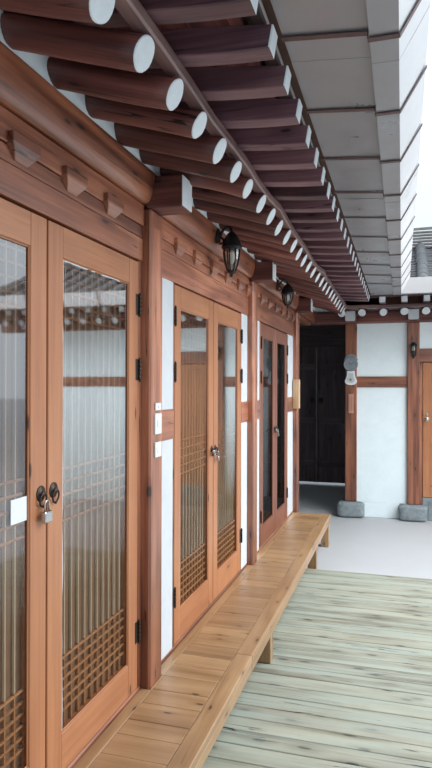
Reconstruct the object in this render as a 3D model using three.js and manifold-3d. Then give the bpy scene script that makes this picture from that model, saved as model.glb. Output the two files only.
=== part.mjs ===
// Courtyard house in the Korean manner: a west wing with three pairs of glazed doors and a bench
// porch, a gate hall in the corner, and a north wing, under one L-shaped tiled roof.
// Units are millimetres, +Z is up. Drawn in a plan frame whose X = 0 is the face of the west
// wing's doors and whose Y runs along that wing, then moved so that the origin is the middle of
// the whole house's box, at ground level.
import * as THREE from "three";
import { mergeVertices } from "three/addons/utils/BufferGeometryUtils.js";
import Module from "manifold-3d";

const wasm = await Module();
wasm.setup();

// ---- driving dimensions -------------------------------------------------
const GAP = 0.3;                       // between pieces that touch
const HALF_DEPTH = 1300;               // ridge line to the outer face of a wall
const RIDGE_X = -1300, RIDGE_Y = 9645; // ridge lines of the two wings
const DIAG = RIDGE_X + RIDGE_Y;        // x + y on the line of valley and hip
const WEST = -2600, NORTH = 10945;     // outer faces of the back walls
const SOUTH = 903, EAST = 4375;        // outer faces of the gable walls
const ROOF_S = 400, ROOF_E = 4875;     // roof edges at the gables
const POST = 150;
const POST_Y = [978, 2710, 4760, 6860];          // west wing posts, centres
const POST_FRONT = 45, POST_BACK = -105;
const BASE_TOP = 225, FLOOR_TOP = 300, SILL_TOP = 338;
const LEAF_BOTTOM = 345, LEAF_TOP = [2281, 2253, 2253], LEAF_T = 40, LEAF_GAP = 6;   // tops by bay
const LEAVES = [[1094, 1839], [1849, 2594], [3070, 3767], [3777, 4474], [5159, 5776], [5786, 6403]];
const GLASS_Z = [[486, 2170], [510, 2135], [510, 2135]];
const STILE = 95, GLASS_T = 6;
const RAIL_Z = [1440, 1595];                     // rails in the plaster strips
const LINTEL_UNDER = [2290, 2262, 2262], LINTEL_TOP = 2398, BLOCK_TOP = 2465, PLATE_TOP = 2517;
const LIP_TOP = 2552, POST_HEAD = 2532.7;
const BLOCK_Y = [
  [1345, 1656, 1965, 2290],
  [3080, 3390, 3711, 4045, 4370, 4622],
  [5120, 5430, 5740, 6050, 6360, 6670],
];
const PURLIN_Z = [2517.3, 2695], PURLIN_OUT = 65;
const HEAD_OUT = 195, HEAD_Z = [2533, 2680], HEAD_W = 140;
const RAFTER_R = 50, RAFTER_SLOPE = 0.3, RAFTER_END_D = 1780, RAFTER_END_Z = 2625;
const RAFTER_PITCH = 243, BACK_PITCH = 250, BACK_END_D = 2000;
const FLY_W = 72, FLY_H = 86, FLY_SLOPE = 0.114, FLY_D = [1555, 2090], FLY_Z = 2770, FLY_AT = 1750;
const BENCH = { x0: 45 + GAP, sill: GAP, x1: 412, y0: 930, y1: 6790, top: 325, slab: 38, fascia: 88 };
const BENCH_LEGS = [1350, 3650, 5700, 6690];
const DECK = { x0: 290, x1: 2380, y0: 930, y1: 5600, top: 70 };
const END_POSTS = [508, 1289, 2380, 4300];       // north wing posts, centres
const STONE_TOP = 200, END_FLOOR = 280;
const END_RAIL_Z = [1700, 1840];
const END_DOOR = { x0: 1408, x1: 2207, z0: 297, z1: 2017 };
const GATE = { x0: -982, x1: 430, z0: 40, z1: 2400, y0: 10826, t: 50, leafGap: 10 };

// ---- helpers ------------------------------------------------------------
function solid(geometry) {
  const g = geometry.index ? geometry.toNonIndexed() : geometry.clone();
  g.deleteAttribute("normal");
  g.deleteAttribute("uv");
  const m = mergeVertices(g, 1e-3);
  return new wasm.Manifold(new wasm.Mesh({
    numProp: 3,
    vertProperties: new Float32Array(m.attributes.position.array),
    triVerts: new Uint32Array(m.index.array),
  }));
}
function box(x0, x1, y0, y1, z0, z1) {
  const g = new THREE.BoxGeometry(x1 - x0, y1 - y0, z1 - z0);
  g.translate((x0 + x1) / 2, (y0 + y1) / 2, (z0 + z1) / 2);
  return solid(g);
}
const join = (list) => list.reduce((a, b) => a.add(b));
function outline(points) {
  const s = new THREE.Shape();
  points.forEach(([a, b], i) => (i ? s.lineTo(a, b) : s.moveTo(a, b)));
  s.closePath();
  return s;
}
// points are (x, z), carried along Y
function alongY(points, y0, y1) {
  const g = new THREE.ExtrudeGeometry(outline(points), { depth: y1 - y0, bevelEnabled: false });
  g.rotateX(Math.PI / 2);
  g.translate(0, y1, 0);
  return solid(g);
}
// points are (y, z), carried along X
function alongX(points, x0, x1) {
  const g = new THREE.ExtrudeGeometry(outline(points), { depth: x1 - x0, bevelEnabled: false });
  g.applyMatrix4(new THREE.Matrix4().set(0, 0, 1, x0, 1, 0, 0, 0, 0, 1, 0, 0, 0, 0, 0, 1));
  return solid(g);
}
function log(a, b, r) {
  const A = new THREE.Vector3(...a), B = new THREE.Vector3(...b);
  const g = new THREE.CylinderGeometry(r, r, A.distanceTo(B), 8);
  g.applyQuaternion(new THREE.Quaternion().setFromUnitVectors(
    new THREE.Vector3(0, 1, 0), B.clone().sub(A).normalize()));
  g.translate((A.x + B.x) / 2, (A.y + B.y) / 2, (A.z + B.z) / 2);
  return solid(g);
}
// all that lies on the ridge side of the valley line (side -1: west wing, +1: north wing)
function beyondDiagonal(side) {
  const g = new THREE.BoxGeometry(30000, 15000, 12000);
  g.translate(0, side * (7500 + GAP / 2), 0);
  g.rotateZ(-Math.PI / 4);
  g.translate(RIDGE_X, RIDGE_Y, 3000);
  return solid(g);
}
const WOOD = { color: 0x8a4a2b, roughness: 0.6, metalness: 0 };
const DOORWOOD = { color: 0xb0663a, roughness: 0.5, metalness: 0 };
const PLASTER = { color: 0xe6e8ea, roughness: 0.85, metalness: 0 };
const STONE = { color: 0x8b8a86, roughness: 0.9, metalness: 0 };
const TILE = { color: 0x4a4c4f, roughness: 0.7, metalness: 0 };
const METAL = { color: 0xa59c95, roughness: 0.45, metalness: 0.7 };
const PINE = { color: 0xc98a4e, roughness: 0.5, metalness: 0 };
const DECKING = { color: 0xa39a7c, roughness: 0.8, metalness: 0 };
const GLASS = { color: 0xc8d4d8, roughness: 0.05, metalness: 0, transparent: true, opacity: 0.35 };

const house = new THREE.Group();
function put(name, body, look) {
  const m = body.getMesh();
  const g = new THREE.BufferGeometry();
  g.setAttribute("position", new THREE.BufferAttribute(new Float32Array(m.vertProperties), 3));
  g.setIndex(new THREE.BufferAttribute(new Uint32Array(m.triVerts), 1));
  g.computeVertexNormals();
  const mesh = new THREE.Mesh(g, new THREE.MeshStandardMaterial(look));
  mesh.name = name;
  house.add(mesh);
}

// ---- roof form ----------------------------------------------------------
// heights by distance d from the ridge line; "inner" faces the court, "outer" faces away
const TOP_INNER = [[0, 3850], [700, 3480], [1400, 3165], [2092, 2908]];
const TOP_OUTER = [[0, 3850], [700, 3420], [1400, 3060], [2100, 2770]];
const underRafter = (d) => RAFTER_END_Z + RAFTER_SLOPE * (RAFTER_END_D - d) + 53.5;
const UNDER_INNER = [[0, underRafter(0)], [1550, underRafter(1550)], [1550, 2840], [2000, 2790], [2000, 2825], [2200, 2825]];
const UNDER_OUTER = [[0, underRafter(0)], [1945, underRafter(1945)], [1945, 2680], [2200, 2680]];
function wingSolid(inner, outer, low) {
  // west wing: x = RIDGE_X + d on the court side
  const w = [...outer].reverse().map(([d, z]) => [RIDGE_X - d, z]).concat(inner.slice(1).map(([d, z]) => [RIDGE_X + d, z]));
  const west = [[w[0][0], low], ...w, [w[w.length - 1][0], low]];
  // north wing: y = RIDGE_Y - d on the court side
  const n = [...inner].reverse().map(([d, z]) => [RIDGE_Y - d, z]).concat(outer.slice(1).map(([d, z]) => [RIDGE_Y + d, z]));
  const north = [[n[0][0], low], ...n, [n[n.length - 1][0], low]];
  return { west, north };
}
function clipNorth(outer, low) { // nothing above the north wing's back slope
  const o = [...outer].reverse().map(([d, z]) => [RIDGE_Y + d, z]);
  return [[o[0][0], low], ...o, [RIDGE_Y, 6000], [-2000, 6000], [-2000, low]];
}
function clipWest(outer, low) {
  const o = [...outer].reverse().map(([d, z]) => [RIDGE_X - d, z]);
  return [[o[0][0], low], ...o, [RIDGE_X, 6000], [8000, 6000], [8000, low]];
}
function ell(inner, outer, low, y0, x1) {
  const s = wingSolid(inner, outer, low);
  const far = outer[outer.length - 1][0];
  const west = alongY(s.west, y0, RIDGE_Y + far).intersect(alongX(clipNorth(outer, low), -6000, 6000));
  const north = alongX(s.north, RIDGE_X - far, x1).intersect(alongY(clipWest(outer, low), -3000, 14000));
  return west.add(north);
}
const topSolid = ell(TOP_INNER, TOP_OUTER, 2000, ROOF_S, ROOF_E);
// the eave boards of the outer corner lie in grooves of the roof's underside
const underSolid = ell(UNDER_INNER, UNDER_OUTER, 1900, ROOF_S - 300, ROOF_E + 300)
  .add(box(RIDGE_X - 2028, RIDGE_X - 1945, 0, RIDGE_Y + 2028, 2400, 2680))
  .add(box(RIDGE_X - 2028, 6000, RIDGE_Y + 1945, RIDGE_Y + 2028, 2400, 2680));
const shell = topSolid.subtract(underSolid);
const sideWest = beyondDiagonal(-1), sideNorth = beyondDiagonal(1);
put("wing_roof", shell.intersect(sideWest), TILE);
put("end_roof", shell.intersect(sideNorth), TILE);

// ridge stacks, lifted at the gable ends
const ridgeW = alongX([[ROOF_S, 3700], [ROOF_S, 4200], [ROOF_S + 700, 4110], [ROOF_S + 2200, 4070], [RIDGE_Y + 400, 4070], [RIDGE_Y + 400, 3700]], RIDGE_X - 130, RIDGE_X + 130);
const ridgeN = alongY([[ROOF_E, 3700], [ROOF_E, 4200], [ROOF_E - 700, 4110], [ROOF_E - 2200, 4070], [RIDGE_X - 400, 4070], [RIDGE_X - 400, 3700]], RIDGE_Y - 130, RIDGE_Y + 130);
const grown = topSolid.translate([0, 0, GAP]);
put("wing_ridge", ridgeW.intersect(sideWest).subtract(grown), TILE);
put("end_ridge", ridgeN.intersect(sideNorth).subtract(grown), TILE);

// ---- rafters ------------------------------------------------------------
const rz = (d) => RAFTER_END_Z + RAFTER_SLOPE * (RAFTER_END_D - d);
const frontY = [], westY = [], endX = [], northX = [];
for (let y = 1077; y < 7700; y += RAFTER_PITCH) frontY.push(y);
for (let y = 1077; y < 10880; y += BACK_PITCH) westY.push(y);
for (let x = 425; x < 4200; x += BACK_PITCH) endX.push(x);
for (let x = -2575; x < 4200; x += BACK_PITCH) northX.push(x);
const gableY = [591, 834], gableX = [4450, 4700];

// beam heads, which the rafters over them are notched to clear
function head(y, g = 0) {
  return alongX([[y - 70 - g, HEAD_Z[0] + 14], [y - 56, HEAD_Z[0]], [y + 56, HEAD_Z[0]], [y + 70 + g, HEAD_Z[0] + 14], [y + 70 + g, HEAD_Z[1] + g], [y - 70 - g, HEAD_Z[1] + g]], 0, HEAD_OUT + g);
}
function headX(x, g = 0) {
  return alongY([[x - 70 - g, HEAD_Z[0] + 26], [x - 56, HEAD_Z[0] + 12], [x + 56, HEAD_Z[0] + 12], [x + 70 + g, HEAD_Z[0] + 26], [x + 70 + g, HEAD_Z[1] + 10 + g], [x - 70 - g, HEAD_Z[1] + 10 + g]], 8345 - HEAD_OUT - g, 8345);
}
// court side of the west wing
let stubs = join(frontY.map((y) => log([RIDGE_X + RAFTER_END_D, y, rz(RAFTER_END_D)], [-60, y, rz(1240)], RAFTER_R)));
stubs = stubs.subtract(box(-400, GAP, 0, 9000, 2000, 3400)).subtract(join(POST_Y.map((y) => head(y, 3))));
put("wing_rafters", join([stubs,
  ...gableY.map((y) => log([RIDGE_X + RAFTER_END_D, y, rz(RAFTER_END_D)], [RIDGE_X, y, rz(0)], RAFTER_R)
    .subtract(box(RIDGE_X - 300, RIDGE_X + 60, 0, 2000, 2000, 4000))),
  box(440, 500, ROOF_S + 20, 7830, 2672, 2718)]), WOOD);

// court side of the north wing
stubs = join(endX.map((x) => log([x, RIDGE_Y - RAFTER_END_D, rz(RAFTER_END_D)], [x, 8405, rz(1240)], RAFTER_R)));
stubs = stubs.subtract(box(-400, 5000, 8345 - GAP, 9000, 2000, 3400)).subtract(join(END_POSTS.map((x) => headX(x, 3))));
put("end_rafters", join([stubs,
  ...gableX.map((x) => log([x, RIDGE_Y - RAFTER_END_D, rz(RAFTER_END_D)], [x, RIDGE_Y, rz(0)], RAFTER_R)
    .subtract(box(4000, 5000, RIDGE_Y - 60, RIDGE_Y + 300, 2000, 4000))),
  box(375, ROOF_E - 20, 7845, 7905, 2672, 2718)]), WOOD);

// flying rafters, square, on the board over the rafter ends
function flyer(y) {
  const z = (d) => FLY_Z - FLY_SLOPE * (d - FLY_AT);
  const [a, b] = FLY_D;
  return alongY([[RIDGE_X + a, z(a) - FLY_H / 2], [RIDGE_X + b, z(b) - FLY_H / 2], [RIDGE_X + b, z(b) + FLY_H / 2], [RIDGE_X + a, z(a) + FLY_H / 2]], y - FLY_W / 2, y + FLY_W / 2);
}
function flyerX(x) {
  const z = (d) => FLY_Z - FLY_SLOPE * (d - FLY_AT);
  const [a, b] = FLY_D;
  return alongX([[RIDGE_Y - b, z(b) - FLY_H / 2], [RIDGE_Y - a, z(a) - FLY_H / 2], [RIDGE_Y - a, z(a) + FLY_H / 2], [RIDGE_Y - b, z(b) + FLY_H / 2]], x - FLY_W / 2, x + FLY_W / 2);
}
put("wing_flying_rafters", join([...[...gableY, ...frontY.filter((y) => y < 7520)].map(flyer),
  box(722, 790, ROOF_S + 10, 7540, 2770, 2816)]), WOOD);
put("end_flying_rafters", join([...[...endX.filter((x) => x > 850), ...gableX].map(flyerX),
  box(722, ROOF_E - 10, 7555, 7623, 2770, 2816)]), WOOD);

// outer sides
const jackY = [11095, 11345], jackX = [-2750, -3000];
const outX = (d) => RIDGE_X - d, outY = (d) => RIDGE_Y + d;
const hip = (() => {
  const s0 = 1372, s1 = 2012, k = Math.SQRT2;
  const g = new THREE.ExtrudeGeometry(outline([[s0 * k, rz(s0) - 120], [s1 * k, rz(s1) - 120], [s1 * k, rz(s1) + 22], [s0 * k, rz(s0) + 22]]), { depth: 120, bevelEnabled: false });
  g.translate(0, 0, -60);
  g.rotateX(Math.PI / 2);
  g.rotateZ((3 * Math.PI) / 4);
  g.translate(RIDGE_X, RIDGE_Y, 0);
  return solid(g);
})();
stubs = join(westY.map((y) => log([outX(BACK_END_D), y, rz(BACK_END_D)], [outX(1240), y, rz(1240)], RAFTER_R)));
stubs = stubs.subtract(box(WEST - GAP, -2000, 0, 12000, 2000, 3400));
put("west_rafters", join([stubs, hip,
  ...gableY.map((y) => log([outX(BACK_END_D), y, rz(BACK_END_D)], [RIDGE_X, y, rz(0)], RAFTER_R)
    .subtract(box(RIDGE_X - 60, RIDGE_X + 300, 0, 2000, 2000, 4000))),
  ...jackY.map((y) => log([outX(BACK_END_D), y, rz(BACK_END_D)], [outX(y - RIDGE_Y + 40), y, rz(y - RIDGE_Y + 40)], RAFTER_R)),
  box(outX(2025), outX(1965), ROOF_S + 20, outY(2025), 2613, 2668).intersect(sideWest)]), WOOD);
stubs = join(northX.map((x) => log([x, outY(BACK_END_D), rz(BACK_END_D)], [x, outY(1240), rz(1240)], RAFTER_R)));
stubs = stubs.subtract(box(-4000, 6000, 9000, NORTH + GAP, 2000, 3400));
const hipHole = (() => {
  const s0 = 1300, s1 = 2060, k = Math.SQRT2;
  const g = new THREE.ExtrudeGeometry(outline([[s0 * k, 2300], [s1 * k, 2300], [s1 * k, 3000], [s0 * k, 3000]]), { depth: 122, bevelEnabled: false });
  g.translate(0, 0, -61);
  g.rotateX(Math.PI / 2);
  g.rotateZ((3 * Math.PI) / 4);
  g.translate(RIDGE_X, RIDGE_Y, 0);
  return solid(g);
})();
put("north_rafters", join([stubs,
  ...gableX.map((x) => log([x, outY(BACK_END_D), rz(BACK_END_D)], [x, RIDGE_Y, rz(0)], RAFTER_R)
    .subtract(box(4000, 5000, RIDGE_Y - 300, RIDGE_Y + 60, 2000, 4000))),
  ...jackX.map((x) => log([x, outY(BACK_END_D), rz(BACK_END_D)], [x, outY(RIDGE_X - x + 40), rz(RIDGE_X - x + 40)], RAFTER_R)),
  box(outX(2025), ROOF_E - 20, outY(1965), outY(2025), 2613, 2668)]).intersect(sideNorth).subtract(hipHole), WOOD);

// metal eaves plate and gutter
const GUTTER = [[797, 2792], [1056, 2770], [1056, 2748], [1140, 2748], [1232, 2905], [1225, 2909], [1136, 2754], [1062, 2754], [1062, 2776], [797, 2798]];
put("wing_gutter", alongY(GUTTER, ROOF_S, 8000).intersect(sideWest), METAL);
put("end_gutter", alongX(GUTTER.map(([x, z]) => [DIAG - x, z]), 600, ROOF_E).intersect(sideNorth), METAL);

// ---- west wing ----------------------------------------------------------
put("wing_base", box(WEST, 40, SOUTH, 6935, 0, BASE_TOP), STONE);
const halves = POST / 2;
const floorParts = [box(-2450 + GAP, POST_BACK - GAP, SOUTH + 126, 6810 - GAP, BASE_TOP + GAP, FLOOR_TOP)];
for (let i = 0; i < 3; i++) {
  floorParts.push(box(POST_BACK - 20, 0, POST_Y[i] + halves + GAP, POST_Y[i + 1] - halves - GAP, BASE_TOP + GAP, SILL_TOP));
}
put("wing_floor", join(floorParts), WOOD);

const POST_TOP = BLOCK_TOP - GAP;
const zs = SILL_TOP + GAP, zt = LINTEL_UNDER[1] - GAP, zt0 = LINTEL_UNDER[0] - GAP;
const postNodes = [0, 1, 2, 3].map((i) => [box(POST_BACK, POST_FRONT, POST_Y[i] - halves, POST_Y[i] + halves, BASE_TOP + GAP, POST_TOP),
  box(-20, POST_FRONT, POST_Y[i] - halves, POST_Y[i] + halves, POST_TOP - 5, POST_HEAD)]);
const edge = (i) => [POST_Y[i] - halves, POST_Y[i] + halves];
// jambs of the first pair stand against the posts
postNodes[0].push(box(-95, 0, edge(0)[1] - 5, LEAVES[0][0] - LEAF_GAP, zs, zt0));
postNodes[1].push(box(-95, 0, LEAVES[1][1] + LEAF_GAP, edge(1)[0] + 5, zs, zt0));
// plaster strip, its rail and the jamb beyond it
function strip(parts, y0, y1, jy0, jy1) {
  parts.push(box(-70, -3, Math.min(y0, jy0), Math.max(y1, jy1), zs, zt));
  parts.push(box(-70, 4, Math.min(y0, jy0), Math.max(y1, jy1), RAIL_Z[0], RAIL_Z[1]));
  parts.push(box(-95, 0, jy0, jy1, zs, zt));
}
strip(postNodes[1], edge(1)[1] - 5, 3052, 3052, LEAVES[2][0] - LEAF_GAP);
strip(postNodes[2], 4492, edge(2)[0] + 5, LEAVES[3][1] + LEAF_GAP, 4492);
strip(postNodes[2], edge(2)[1] - 5, 5110, 5110, LEAVES[4][0] - LEAF_GAP);
strip(postNodes[3], 6450, edge(3)[0] + 5, LEAVES[5][1] + LEAF_GAP, 6450);
postNodes.forEach((parts, i) => put(`wing_post_${i + 1}`, join(parts), WOOD));

// lintel beam, bearing blocks and the plate above them
// the lintel stops at the last post: the side of the hall is open up to the purlin
const bays = [[edge(0)[1] + GAP, edge(1)[0] - GAP], [edge(1)[1] + GAP, edge(2)[0] - GAP], [edge(2)[1] + GAP, edge(3)[0] - GAP]];
const PLATE_END = edge(3)[1] - 5;
// the plate's front edge stands up before the purlin and stops at the post heads
const lintel = [box(-100, 8, ROOF_S + 60, PLATE_END, BLOCK_TOP, PLATE_TOP)
  .add(box(-20 + GAP, 8, ROOF_S + 60, PLATE_END, PLATE_TOP - 5, LIP_TOP))
  .subtract(join(POST_Y.map((y) => box(-20 - GAP, 60, y - halves - GAP, y + halves + GAP, BLOCK_TOP - 10, LIP_TOP + 10))))];
bays.forEach(([a, b], i) => {
  lintel.push(box(-100, 6, a, b, LINTEL_UNDER[i], LINTEL_TOP));
  lintel.push(box(-80, 4, a, b, LINTEL_TOP - 5, BLOCK_TOP + 5));
  BLOCK_Y[i].forEach((y) => lintel.push(alongX([[y - 38, LINTEL_TOP + 2], [y + 38, LINTEL_TOP + 2], [y + 55, LINTEL_TOP + 40], [y + 55, BLOCK_TOP + 23], [y - 55, BLOCK_TOP + 23], [y - 55, LINTEL_TOP + 40]], -60, 32)));
});
put("wing_lintel", join(lintel), WOOD);

// purlin with the beam heads, and the wall filling between the rafters
put("wing_purlin", join([box(-105, PURLIN_OUT, ROOF_S + 50, 8280 - GAP, PURLIN_Z[0], PURLIN_Z[1])
  .subtract(box(-20, 100, 0, 9000, 2500, LIP_TOP + GAP)),
  ...POST_Y.map((y) => head(y)), box(-90, 0, SOUTH, 8280 - GAP, PURLIN_Z[1] - 5, underRafter(HALF_DEPTH) - 1)]), WOOD);

// bench porch
const by0 = BENCH.y0, by1 = BENCH.y1;
const bench = [box(BENCH.x0, BENCH.x1, by0, by1, BENCH.top - BENCH.slab, BENCH.top),
  box(BENCH.x1 - 45, BENCH.x1, by0, by1, BENCH.top - BENCH.fascia, BENCH.top - 5)];
// the inner board runs between the posts, up to the sill
[0, 1, 2].forEach((i) => bench.push(box(BENCH.sill, BENCH.x0 + 5, edge(i)[1] + GAP, edge(i + 1)[0] - GAP, BENCH.top - BENCH.slab, BENCH.top)));
BENCH_LEGS.forEach((y) => {
  const z0 = y < DECK.y1 - 50 ? DECK.top + GAP : 0;
  bench.push(box(BENCH.x1 - 85, BENCH.x1 - 5, y - 40, y + 40, z0, BENCH.top - 10));
  bench.push(box(BENCH.x0, BENCH.x1 - 20, y - 30, y + 30, BENCH.top - BENCH.fascia, BENCH.top - 5));
});
put("bench", join(bench), PINE);
put("courtyard_deck", box(DECK.x0, DECK.x1, DECK.y0, DECK.y1, 0, DECK.top), DECKING);

// glazed door leaves
LEAVES.forEach(([y0, y1], i) => {
  const bay = Math.floor(i / 2), gy0 = y0 + STILE, gy1 = y1 - STILE, [gz0, gz1] = GLASS_Z[bay];
  put(`door_leaf_${i + 1}`, box(-LEAF_T, 0, y0, y1, LEAF_BOTTOM, LEAF_TOP[bay]).subtract(box(-100, 100, gy0, gy1, gz0, gz1)), DOORWOOD);
  put(`door_glass_${i + 1}`, box(-16, -16 + GLASS_T, gy0 + GAP, gy1 - GAP, gz0 + GAP, gz1 - GAP), GLASS);
});

// ---- walls --------------------------------------------------------------
const under = (d) => underRafter(d) - 1.5;
// gable-shaped slab across the west wing
function gableY1(x0, x1, y0, y1, z0) {
  return alongY([[x0, z0], [x1, z0], [x1, under(x1 - RIDGE_X)], [RIDGE_X, under(0)], [x0, under(RIDGE_X - x0)]], y0, y1);
}
function gableX1(y0, y1, x0, x1, z0) {
  return alongX([[y0, z0], [y1, z0], [y1, under(y1 - RIDGE_Y)], [RIDGE_Y, under(0)], [y0, under(RIDGE_Y - y0)]], x0, x1);
}
const RAILS = [[BASE_TOP + 3, 345], [1440, 1595], [2383, 2512]];
const SET = 6;                          // rails lie this far behind the post faces
// south gable wall with its proud timbers
const sx0 = -2450 + GAP, sx1 = POST_BACK - GAP;
put("south_wall", join([gableY1(sx0, sx1, SOUTH + 25, SOUTH + 125, BASE_TOP + GAP),
  box(-1375, -1225, SOUTH, SOUTH + 60, BASE_TOP + GAP, 2516),
  box(-1375, -1225, ROOF_S + 50, SOUTH + 60, 2900, 3080),
  ...RAILS.map(([a, b]) => box(sx0, sx1, SOUTH + SET, SOUTH + 60, a, b))]), PLASTER);
// wall between the west wing and the gate hall
put("hall_south_wall", join([gableY1(sx0, sx1, 6810, 6910, BASE_TOP + GAP),
  box(-1375, -1225, 6850, 6935, BASE_TOP + GAP, 2516),
  ...RAILS.map(([a, b]) => box(sx0, sx1, 6850, 6935 - SET, a, b))]), PLASTER);
// back wall of the west wing and the gate hall
const westPosts = [...POST_Y, 8345, 10870];
put("west_wall", join([
  box(-2575, -2475, SOUTH + 1, 6935 + GAP, BASE_TOP + GAP, under(1275)),
  box(-2575, -2475, 6935 + GAP - 5, 10920, BASE_TOP + GAP, under(1275)),
  box(-2575, -2475, 6935 + GAP, 10920, 0, BASE_TOP + 40),
  ...westPosts.map((y) => box(-2600, -2450, y - halves, y + halves, y > 7000 ? 0 : BASE_TOP + GAP, 2514)),
  box(-2600 + SET, -2500, SOUTH + 2, NORTH - 2, BASE_TOP + 3, 345),
  ...RAILS.slice(1).map(([a, b]) => box(-2600 + SET, -2500, SOUTH + 2, NORTH - 2, a, b)),
  box(-2665, -2495, ROOF_S + 50, NORTH + 65, 2510, PURLIN_Z[1])]), PLASTER);
// back wall beside the gate, west part
const purlinN = (x0, x1) => box(x0, x1, 10840, NORTH + PURLIN_OUT, 2510, PURLIN_Z[1]);
put("north_wall_west", join([box(-2450 + GAP, GATE.x0, 10820, 10920, 0, under(1275)),
  box(GATE.x0 - POST, GATE.x0, 10795, NORTH, 0, 2516),
  ...RAILS.map(([a, b]) => box(-2450 + GAP, GATE.x0 - 5, 10870, NORTH - SET, a, b)),
  purlinN(-2450 + GAP, GATE.x0)]), PLASTER);
put("gate_head", join([box(GATE.x0 + GAP, GATE.x1 - GAP, 10810, 10930, 2410, 2516),
  box(GATE.x0 + GAP, GATE.x1 - GAP, 10820, 10920, 2500, under(1275)),
  purlinN(GATE.x0 + GAP, GATE.x1 - GAP)]), WOOD);
const EB = STONE_TOP + GAP;
put("north_wall_east", join([box(GATE.x1, GATE.x1 + POST, 10795, NORTH, 0, 2516),
  box(GATE.x1, EAST, 10820, 10920, EB, under(1275)),
  ...[1289, 2380].map((x) => box(x - halves, x + halves, 10870, NORTH, EB, 2516)),
  box(EAST - POST, EAST, 10795, NORTH, EB, 2516),
  ...[[EB + 3, 320], [1440, 1595], [2383, 2512]].map(([a, b]) => box(GATE.x1 + 10, EAST - 3, 10870, NORTH - SET, a, b)),
  purlinN(GATE.x1, ROOF_E - 50)]), PLASTER);
put("hall_east_wall", gableX1(8450 + GAP, 10795 - GAP, 450, 580, 0), PLASTER);
put("east_wall", join([gableX1(8450 + GAP, 10795 - GAP, 4250, 4350, EB),
  box(EAST - 60, EAST, RIDGE_Y - 75, RIDGE_Y + 75, EB, 2516),
  box(EAST - 60, ROOF_E - 50, RIDGE_Y - 75, RIDGE_Y + 75, 2900, 3080),
  ...[[EB + 3, 320], [1440, 1595], [2383, 2512]].map(([a, b]) => box(EAST - 60, EAST - SET, 8450 + GAP, 10795 - GAP, a, b))]), PLASTER);

// ---- north wing front ---------------------------------------------------
const F = 8345, PF = 8300, PB = 8450, ET = 2533 - GAP;
put("end_base", join([box(580 + GAP, EAST, F, NORTH, 0, STONE_TOP),
  box(600, 4225, 8460, 10800, STONE_TOP - 5, END_FLOOR),
  box(1401 + GAP, 2213 - GAP, F, 8470, STONE_TOP - 5, 290),
  ...END_POSTS.map((x) => box(Math.max(x, 508) - 190, Math.min(x + 190, EAST + 40), 8185, 8500, 0, STONE_TOP))])
  .subtract(box(440, 580 + GAP, 8450, 10800, -1, 3000)), STONE);
put("end_wall_left", join([box(433, 583, PF, PB, EB, ET), box(1213, 1365, PF, PB, EB, ET),
  box(578, 1218, F, 8435, EB, ET), box(578, 1218, F - 22, 8440, END_RAIL_Z[0], END_RAIL_Z[1]),
  box(1360, 1401, F, PB, EB, 2026)]), WOOD);
put("end_wall_right", join([box(2302, 2458, PF, PB, EB, ET), box(4225, EAST, PF, PB, EB, ET),
  box(2450, 4230, F, 8435, EB, ET), box(2450, 4230, F - 22, 8440, END_RAIL_Z[0], END_RAIL_Z[1]),
  box(2213, 2308, F, PB, EB, 2026)]), WOOD);
put("end_door_head", join([box(1365 + GAP, 2302 - GAP, F - 22, 8440, 2026 + GAP, 2195),
  box(1365 + GAP, 2302 - GAP, F, 8435, 2190, ET)]), WOOD);
put("end_beam", join([box(-2450 + GAP, ROOF_E - 50, 8280, PB, 2533, PURLIN_Z[1]),
  ...END_POSTS.map((x) => headX(x)), box(10, EAST, F, 8435, PURLIN_Z[1] - 5, underRafter(HALF_DEPTH) - 1)]), WOOD);
put("end_door", box(END_DOOR.x0, END_DOOR.x1, F, F + 40, END_DOOR.z0, END_DOOR.z1), DOORWOOD);

// gate
const gateW = (GATE.x1 - GATE.x0 - 2 * LEAF_GAP - GATE.leafGap) / 2;
function gateLeaf(x0) {
  return join([box(x0, x0 + gateW, GATE.y0, GATE.y0 + GATE.t, GATE.z0, GATE.z1)]);
}
put("gate_leaf_left", gateLeaf(GATE.x0 + LEAF_GAP), WOOD);
put("gate_leaf_right", gateLeaf(GATE.x1 - LEAF_GAP - gateW), WOOD);

// origin: middle of the box, on the ground
const model = new THREE.Group();
house.position.set(-(RIDGE_X - 2100 + ROOF_E) / 2, -(ROOF_S + RIDGE_Y + 2100) / 2, 0);
model.add(house);
export default model;
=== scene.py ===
import math

import bpy
import numpy as np
from mathutils import Euler, Matrix, Vector


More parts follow.
